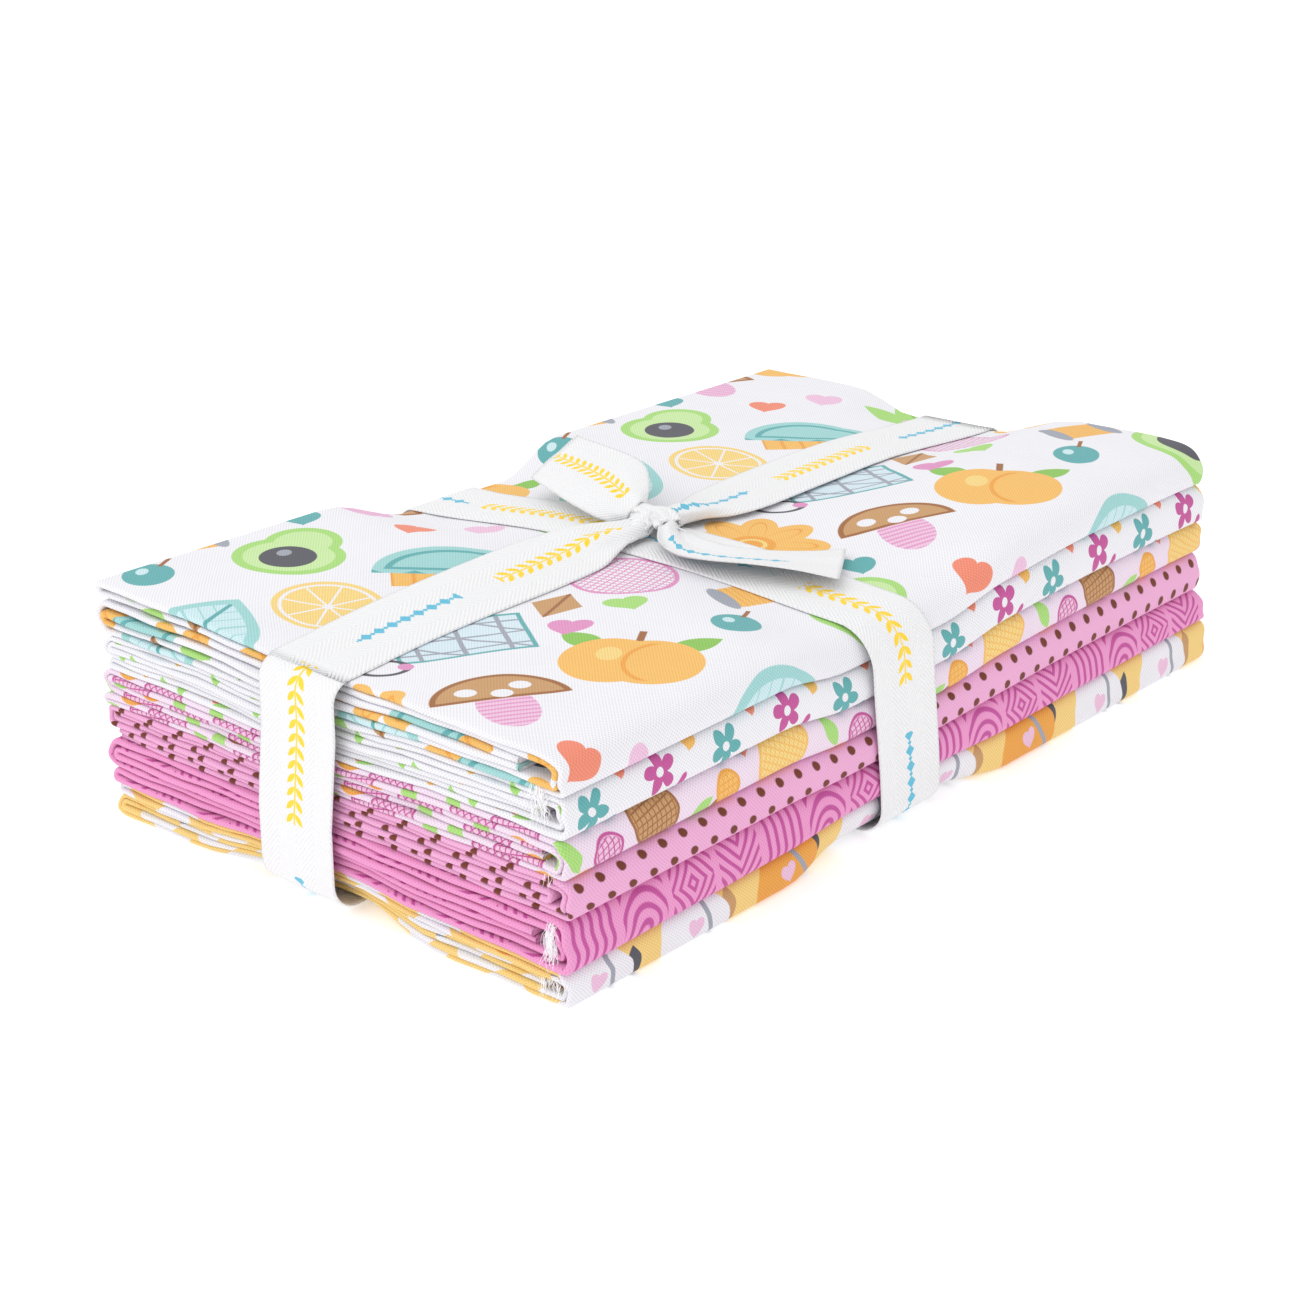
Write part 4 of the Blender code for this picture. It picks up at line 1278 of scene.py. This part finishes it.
def cloth_finish(name, settings):
    """Matt printed cotton: the print, painted shade in a plain weave's hollows, soft uneven shade."""
    finish = Finish(name)
    place = finish.flat()
    colour = PRINTS[name](finish, place)
    weave = weave_height(finish, place, settings.weave_pitch / MM)
    patches = finish.add("TexNoise", {}, Vector=place, Scale=0.05, Detail=3.0, Roughness=0.6)
    # painted shade: the weave's hollows and soft noise patches darken the print towards black
    shade = (weave * 0.15 + patches * 0.08 + 0.89).least(1.0)
    slubs = finish.add("TexNoise", {}, Vector=place, Scale=0.6, Detail=2.0, Roughness=0.5)
    height = weave * 0.35 + slubs * 0.5
    finish.surface(
        Base_Color=finish.mix(1.0 - shade, colour, (0.0, 0.0, 0.0)),
        Roughness=0.92, Specular_IOR_Level=0.25, Sheen_Weight=0.12, Sheen_Roughness=0.5,
        Normal=finish.add("Bump", {}, Strength=0.35, Distance=0.12 * MM, Height=height))
    return finish.material


# The tape's print, in mm along it and across it, and the grey of the painted shade in its twill
PRINT_LENGTH = 110.0
LAUREL_PLACE, LAUREL_HALF = 28, 22
DIAMOND_PLACE, DIAMOND_HALF = 82, 18
LEAF_STEP, DIAMOND_STEP = 1.8, 2.3
LEAF_OUT, LEAF_AHEAD = 0.64, 0.77
LEAF_HALF, LEAF_HALF_WIDE = 2.0, 0.8
LAUREL_YELLOW = (0.95, 0.66, 0.03)
DIAMOND_BLUE = (0.12, 0.50, 0.68)
# painted shade: the grey towards which the grooves of the tape's twill are darkened
TWILL_GROOVE_SHADE = (0.30, 0.31, 0.33)


def tape_finish(settings):
    """White cotton tape in herringbone twill, with short yellow laurels and rows of blue diamonds.

    The twill is a sine along the tape whose phase zigzags across it, and its grooves are darkened
    towards grey as painted shade between the ribs. A laurel is a stem with leaves that slant away
    from it on both sides, pointed as 1 - tip**2.
    """
    finish = Finish("woven_tape")
    place = finish.flat()
    across, along = finish.parts(place)
    slant = across.math("PINGPONG", settings.chevron_width / MM)
    twill = (along * 0.8 + slant).wave(settings.twill_pitch / MM)
    height = twill * 0.6 + across.wave(0.55) * 0.2
    # painted shade: the twill's grooves darken the tape's colour towards the grey
    shade = (twill * 0.08 + 0.95).least(1.0)
    base = finish.mix(1.0 - shade, tuple(settings.tape_colour), TWILL_GROOVE_SHADE)
    run = along.math("WRAP", PRINT_LENGTH, 0.0)
    out = abs(across) - 1.5
    ahead = along.math("WRAP", LEAF_STEP, -LEAF_STEP)
    tip = (out * LEAF_OUT + ahead * LEAF_AHEAD) / LEAF_HALF
    leaves = abs(out * LEAF_AHEAD - ahead * LEAF_OUT) - LEAF_HALF_WIDE * (1 - tip * tip)
    laurel = leaves.least(abs(across) - 0.28).inside() * (run - LAUREL_PLACE).line(LAUREL_HALF)
    step = along.math("PINGPONG", DIAMOND_STEP)
    diamonds = (abs(across) + step - 1.8).least(abs(across) - step + 1.5)
    diamonds = diamonds.inside() * (run - DIAMOND_PLACE).line(DIAMOND_HALF)
    finish.surface(
        Base_Color=layered(finish, base, [(laurel, LAUREL_YELLOW), (diamonds, DIAMOND_BLUE)]),
        Roughness=0.85, Specular_IOR_Level=0.3, Sheen_Weight=0.15,
        Normal=finish.add("Bump", {}, Strength=0.6, Distance=0.18 * MM, Height=height))
    return finish.material


def thread_finish():
    """Raw white thread, with a faint glow in place of the light that passes through a soft fray."""
    finish = Finish("raw_thread")
    finish.surface(
        Base_Color=(0.97, 0.96, 0.98), Roughness=0.9, Sheen_Weight=1.0, Sheen_Roughness=0.6,
        Emission_Color=(1.0, 1.0, 1.0), Emission_Strength=0.14)
    return finish.material


# Operators
def bring_in(obj, node, material):
    """Gives a finished piece its material, and has it ride on the frame in place of a CAD node."""
    obj.data.materials.append(material)
    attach(obj, "root")
    if node:
        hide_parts(node)


def lay_tape(name, node, grid, held, below, **options):
    """A piece of tape from its grid, in the place of a CAD node; held and below are not used."""
    obj, length = tape_object(name, grid, **options)
    bring_in(obj, node, bpy.data.materials["woven_tape"])


class BundleSettings(bpy.types.PropertyGroup):
    """Sizes and colour of the weaves"""

    weave_pitch: bpy.props.FloatProperty(
        name="Weave pitch", description="Distance between two threads of the cloth",
        default=0.5 * MM, unit="LENGTH", precision=5)
    chevron_width: bpy.props.FloatProperty(
        name="Chevron width", description="Width of one leg of the tape's herringbone",
        default=6.3 * MM, unit="LENGTH", precision=4)
    twill_pitch: bpy.props.FloatProperty(
        name="Twill pitch", description="Distance between two ribs of the tape's twill",
        default=1.2 * MM, unit="LENGTH", precision=4)
    tape_colour: bpy.props.FloatVectorProperty(
        name="Tape colour", description="Colour of the undyed tape",
        default=(0.86, 0.86, 0.87), subtype="COLOR", min=0, max=1)


class StageSettings(bpy.types.PropertyGroup):
    """The camera and the floor"""

    camera_place: bpy.props.FloatVectorProperty(
        name="Camera place", description="Where the camera stands",
        default=(-0.507, -0.4205, 0.2906), subtype="XYZ", unit="LENGTH")
    camera_turn: bpy.props.FloatVectorProperty(
        name="Camera turn", description="Which way the camera looks",
        default=(math.radians(67.95), 0, math.radians(-49.4)), subtype="EULER")
    lens: bpy.props.FloatProperty(
        name="Lens", description="Focal length on a 36 mm sensor", default=72.0, unit="CAMERA")
    floor_colour: bpy.props.FloatVectorProperty(
        name="Floor colour", description="Colour of the floor", default=(0.85, 0.85, 0.85),
        subtype="COLOR", min=0, max=1)


class BUNDLE_OT_cuts(bpy.types.Operator):
    """Makes the six folded lengths of cloth"""

    bl_idname = "bundle.cuts"
    bl_label = "Folded cloth"

    def execute(self, context):
        settings = context.scene.bundle
        thread = thread_finish()
        for number, cut in enumerate(CUTS):
            centre, thickness, along = strip_surface(number, cut)
            obj = round_strip(centre, thickness, along, cut.name + "_cloth")
            bring_in(obj, cut.name, cloth_finish(cut.name, settings))
            tufts = [tuft_mesh(tuft, number) for tuft in TUFTS if tuft.cut == cut.name]
            for tuft in tufts:
                bring_in(tuft, None, thread)
        return {"FINISHED"}


def cloth_reach(axis, across, middle, width):
    """How far the cloth reaches along one axis where a band of the given width passes over it."""
    furthest = 0.0
    for number, cut in enumerate(CUTS):
        centre, thickness, _ = strip_surface(number, cut)
        under_band = np.abs(centre[..., across] - middle) < width / 2 + BESIDE_BAND
        furthest = max(furthest, (np.abs(centre[..., axis]) + thickness / 2)[under_band].max())
    return furthest


class BUNDLE_OT_bands(bpy.types.Operator):
    """Makes the two bands of tape that go round the stack"""

    bl_idname = "bundle.bands"
    bl_label = "Bands of tape"

    def execute(self, context):
        tape_finish(context.scene.bundle)
        clear = CLEAR_OF_CLOTH + TAPE_THICK / 2
        long_reach = clear + cloth_reach(0, 1, LONG_BAND_Y, TAPE_WIDTH)
        cross_reach = clear + cloth_reach(1, 0, CROSS_TOP_FRONT_X, CROSS_WANDERS * TAPE_WIDTH)
        for name, grid, closed in (
            ("tape_long_band", long_band_grid(long_reach), False),
            ("tape_cross_band", cross_band_grid(cross_reach), True),
        ):
            lay_tape(name + "_tape", name, grid, "stretched", "cut_scattered_cloth", closed=closed)
        return {"FINISHED"}


class BUNDLE_OT_free_ends(bpy.types.Operator):
    """Makes the two free ends of the tape"""

    bl_idname = "bundle.free_ends"
    bl_label = "Free ends of the tape"

    def execute(self, context):
        for name, edges, gathers, crown, arch, flip, start in (
            ("tape_wide_end", WIDE_END, 0.5, (2.2, 2.2), 0.8, True, 0.0),
            ("tape_narrow_end", NARROW_END, 0.45, (2.8, -2.7), -0.5, False, 56 * MM),
        ):
            grid = free_end_grid(edges, gathers, crown, arch)
            printed = {"flip": flip, "print_from": start}
            lay_tape(name + "_tape", name, grid, "laid", "cut_scattered_cloth", **printed)
        return {"FINISHED"}


class BUNDLE_OT_knot(bpy.types.Operator):
    """Makes the half knot: each arm of the long band turns over the other into a free end"""

    bl_idname = "bundle.knot"
    bl_label = "Knot"

    def execute(self, context):
        for name, stations, half, tall, node in (
            ("tape_knot_over", KNOT_OVER, 3.5, 2.8, "tape_knot"),
            ("tape_knot_under", KNOT_UNDER, 3.6, 2.4, None),
        ):
            grid = knot_turn_grid(stations, half, tall)
            lay_tape(name, node, grid, "gathered", "tape_cross_band_tape", print_from=KNOT_PRINT)
        return {"FINISHED"}


# The stage: half the floor's side, what it and the world give off, and the lights' names, places,
# sides in metres and watts
FLOOR_HALF = 6.0
FLOOR_GLOW = 0.34
WORLD_LIGHT = 0.86
LIGHTS = (
    ("key", (-0.90, 0.25, 1.56), 2.2, 15.0),
    ("fill", (0.7, -1.4, 1.0), 1.4, 1.0),
)
LIT_POINT = (0, 0, 0.03)


class BUNDLE_OT_stage(bpy.types.Operator):
    """Makes the floor, the light and the camera"""

    bl_idname = "bundle.stage"
    bl_label = "Stage"

    def execute(self, context):
        settings = context.scene.bundle_stage
        mesh = bpy.data.meshes.new("floor")
        corners = [(x * FLOOR_HALF, y * FLOOR_HALF, 0) for x, y in ((-1, -1), (1, -1), (1, 1), (-1, 1))]
        mesh.from_pydata(corners, [], [(0, 1, 2, 3)])
        floor = placed("floor", mesh)
        finish = Finish("floor")
        finish.surface(
            Base_Color=tuple(settings.floor_colour), Roughness=0.9,
            Emission_Color=(1.0, 1.0, 1.0), Emission_Strength=FLOOR_GLOW)
        floor.data.materials.append(finish.material)

        world = context.scene.world or bpy.data.worlds.new("world")
        context.scene.world = world
        world.use_nodes = True
        background = world.node_tree.nodes["Background"]
        background.inputs[0].default_value = (1.0, 1.0, 1.0, 1)
        background.inputs[1].default_value = WORLD_LIGHT

        for name, place, size, power in LIGHTS:
            light = bpy.data.lights.new(name, "AREA")
            light.size = size
            light.energy = power
            lamp = placed(name, light)
            lamp.location = place
            lamp.rotation_euler = (Vector(LIT_POINT) - Vector(place)).to_track_quat("-Z", "Y").to_euler()

        camera = placed("camera", bpy.data.cameras.new("camera"))
        camera.data.lens = settings.lens
        camera.data.sensor_width = 36
        camera.data.clip_start = 0.01
        camera.location = settings.camera_place
        camera.rotation_euler = settings.camera_turn
        context.scene.camera = camera
        context.scene.view_settings.view_transform = "Standard"
        return {"FINISHED"}


class BUNDLE_PT_panel(bpy.types.Panel):
    """Lists the pieces and their settings"""

    bl_idname = "BUNDLE_PT_panel"
    bl_label = "Fabric bundle"
    bl_space_type = "VIEW_3D"
    bl_region_type = "UI"
    bl_category = "Bundle"

    def draw(self, context):
        for group in (context.scene.bundle, context.scene.bundle_stage):
            for name in group.bl_rna.properties.keys():
                if name not in ("rna_type", "name"):
                    self.layout.prop(group, name)
        for operator in OPERATORS:
            self.layout.operator(operator.bl_idname)


OPERATORS = (BUNDLE_OT_cuts, BUNDLE_OT_bands, BUNDLE_OT_free_ends, BUNDLE_OT_knot, BUNDLE_OT_stage)
CLASSES = (BundleSettings, StageSettings, *OPERATORS, BUNDLE_PT_panel)


def register():
    """Registers the add-on's classes and puts their settings on the scene."""
    for cls in CLASSES:
        bpy.utils.register_class(cls)
    bpy.types.Scene.bundle = bpy.props.PointerProperty(type=BundleSettings)
    bpy.types.Scene.bundle_stage = bpy.props.PointerProperty(type=StageSettings)


def unregister():
    """Takes the settings and the classes away again."""
    del bpy.types.Scene.bundle_stage
    del bpy.types.Scene.bundle
    for cls in reversed(CLASSES):
        bpy.utils.unregister_class(cls)


def main():
    """Makes all the pieces and the stage."""
    register()
    bpy.ops.bundle.cuts()
    bpy.ops.bundle.bands()
    bpy.ops.bundle.free_ends()
    bpy.ops.bundle.knot()
    bpy.ops.bundle.stage()


if __name__ == "__main__":
    main()
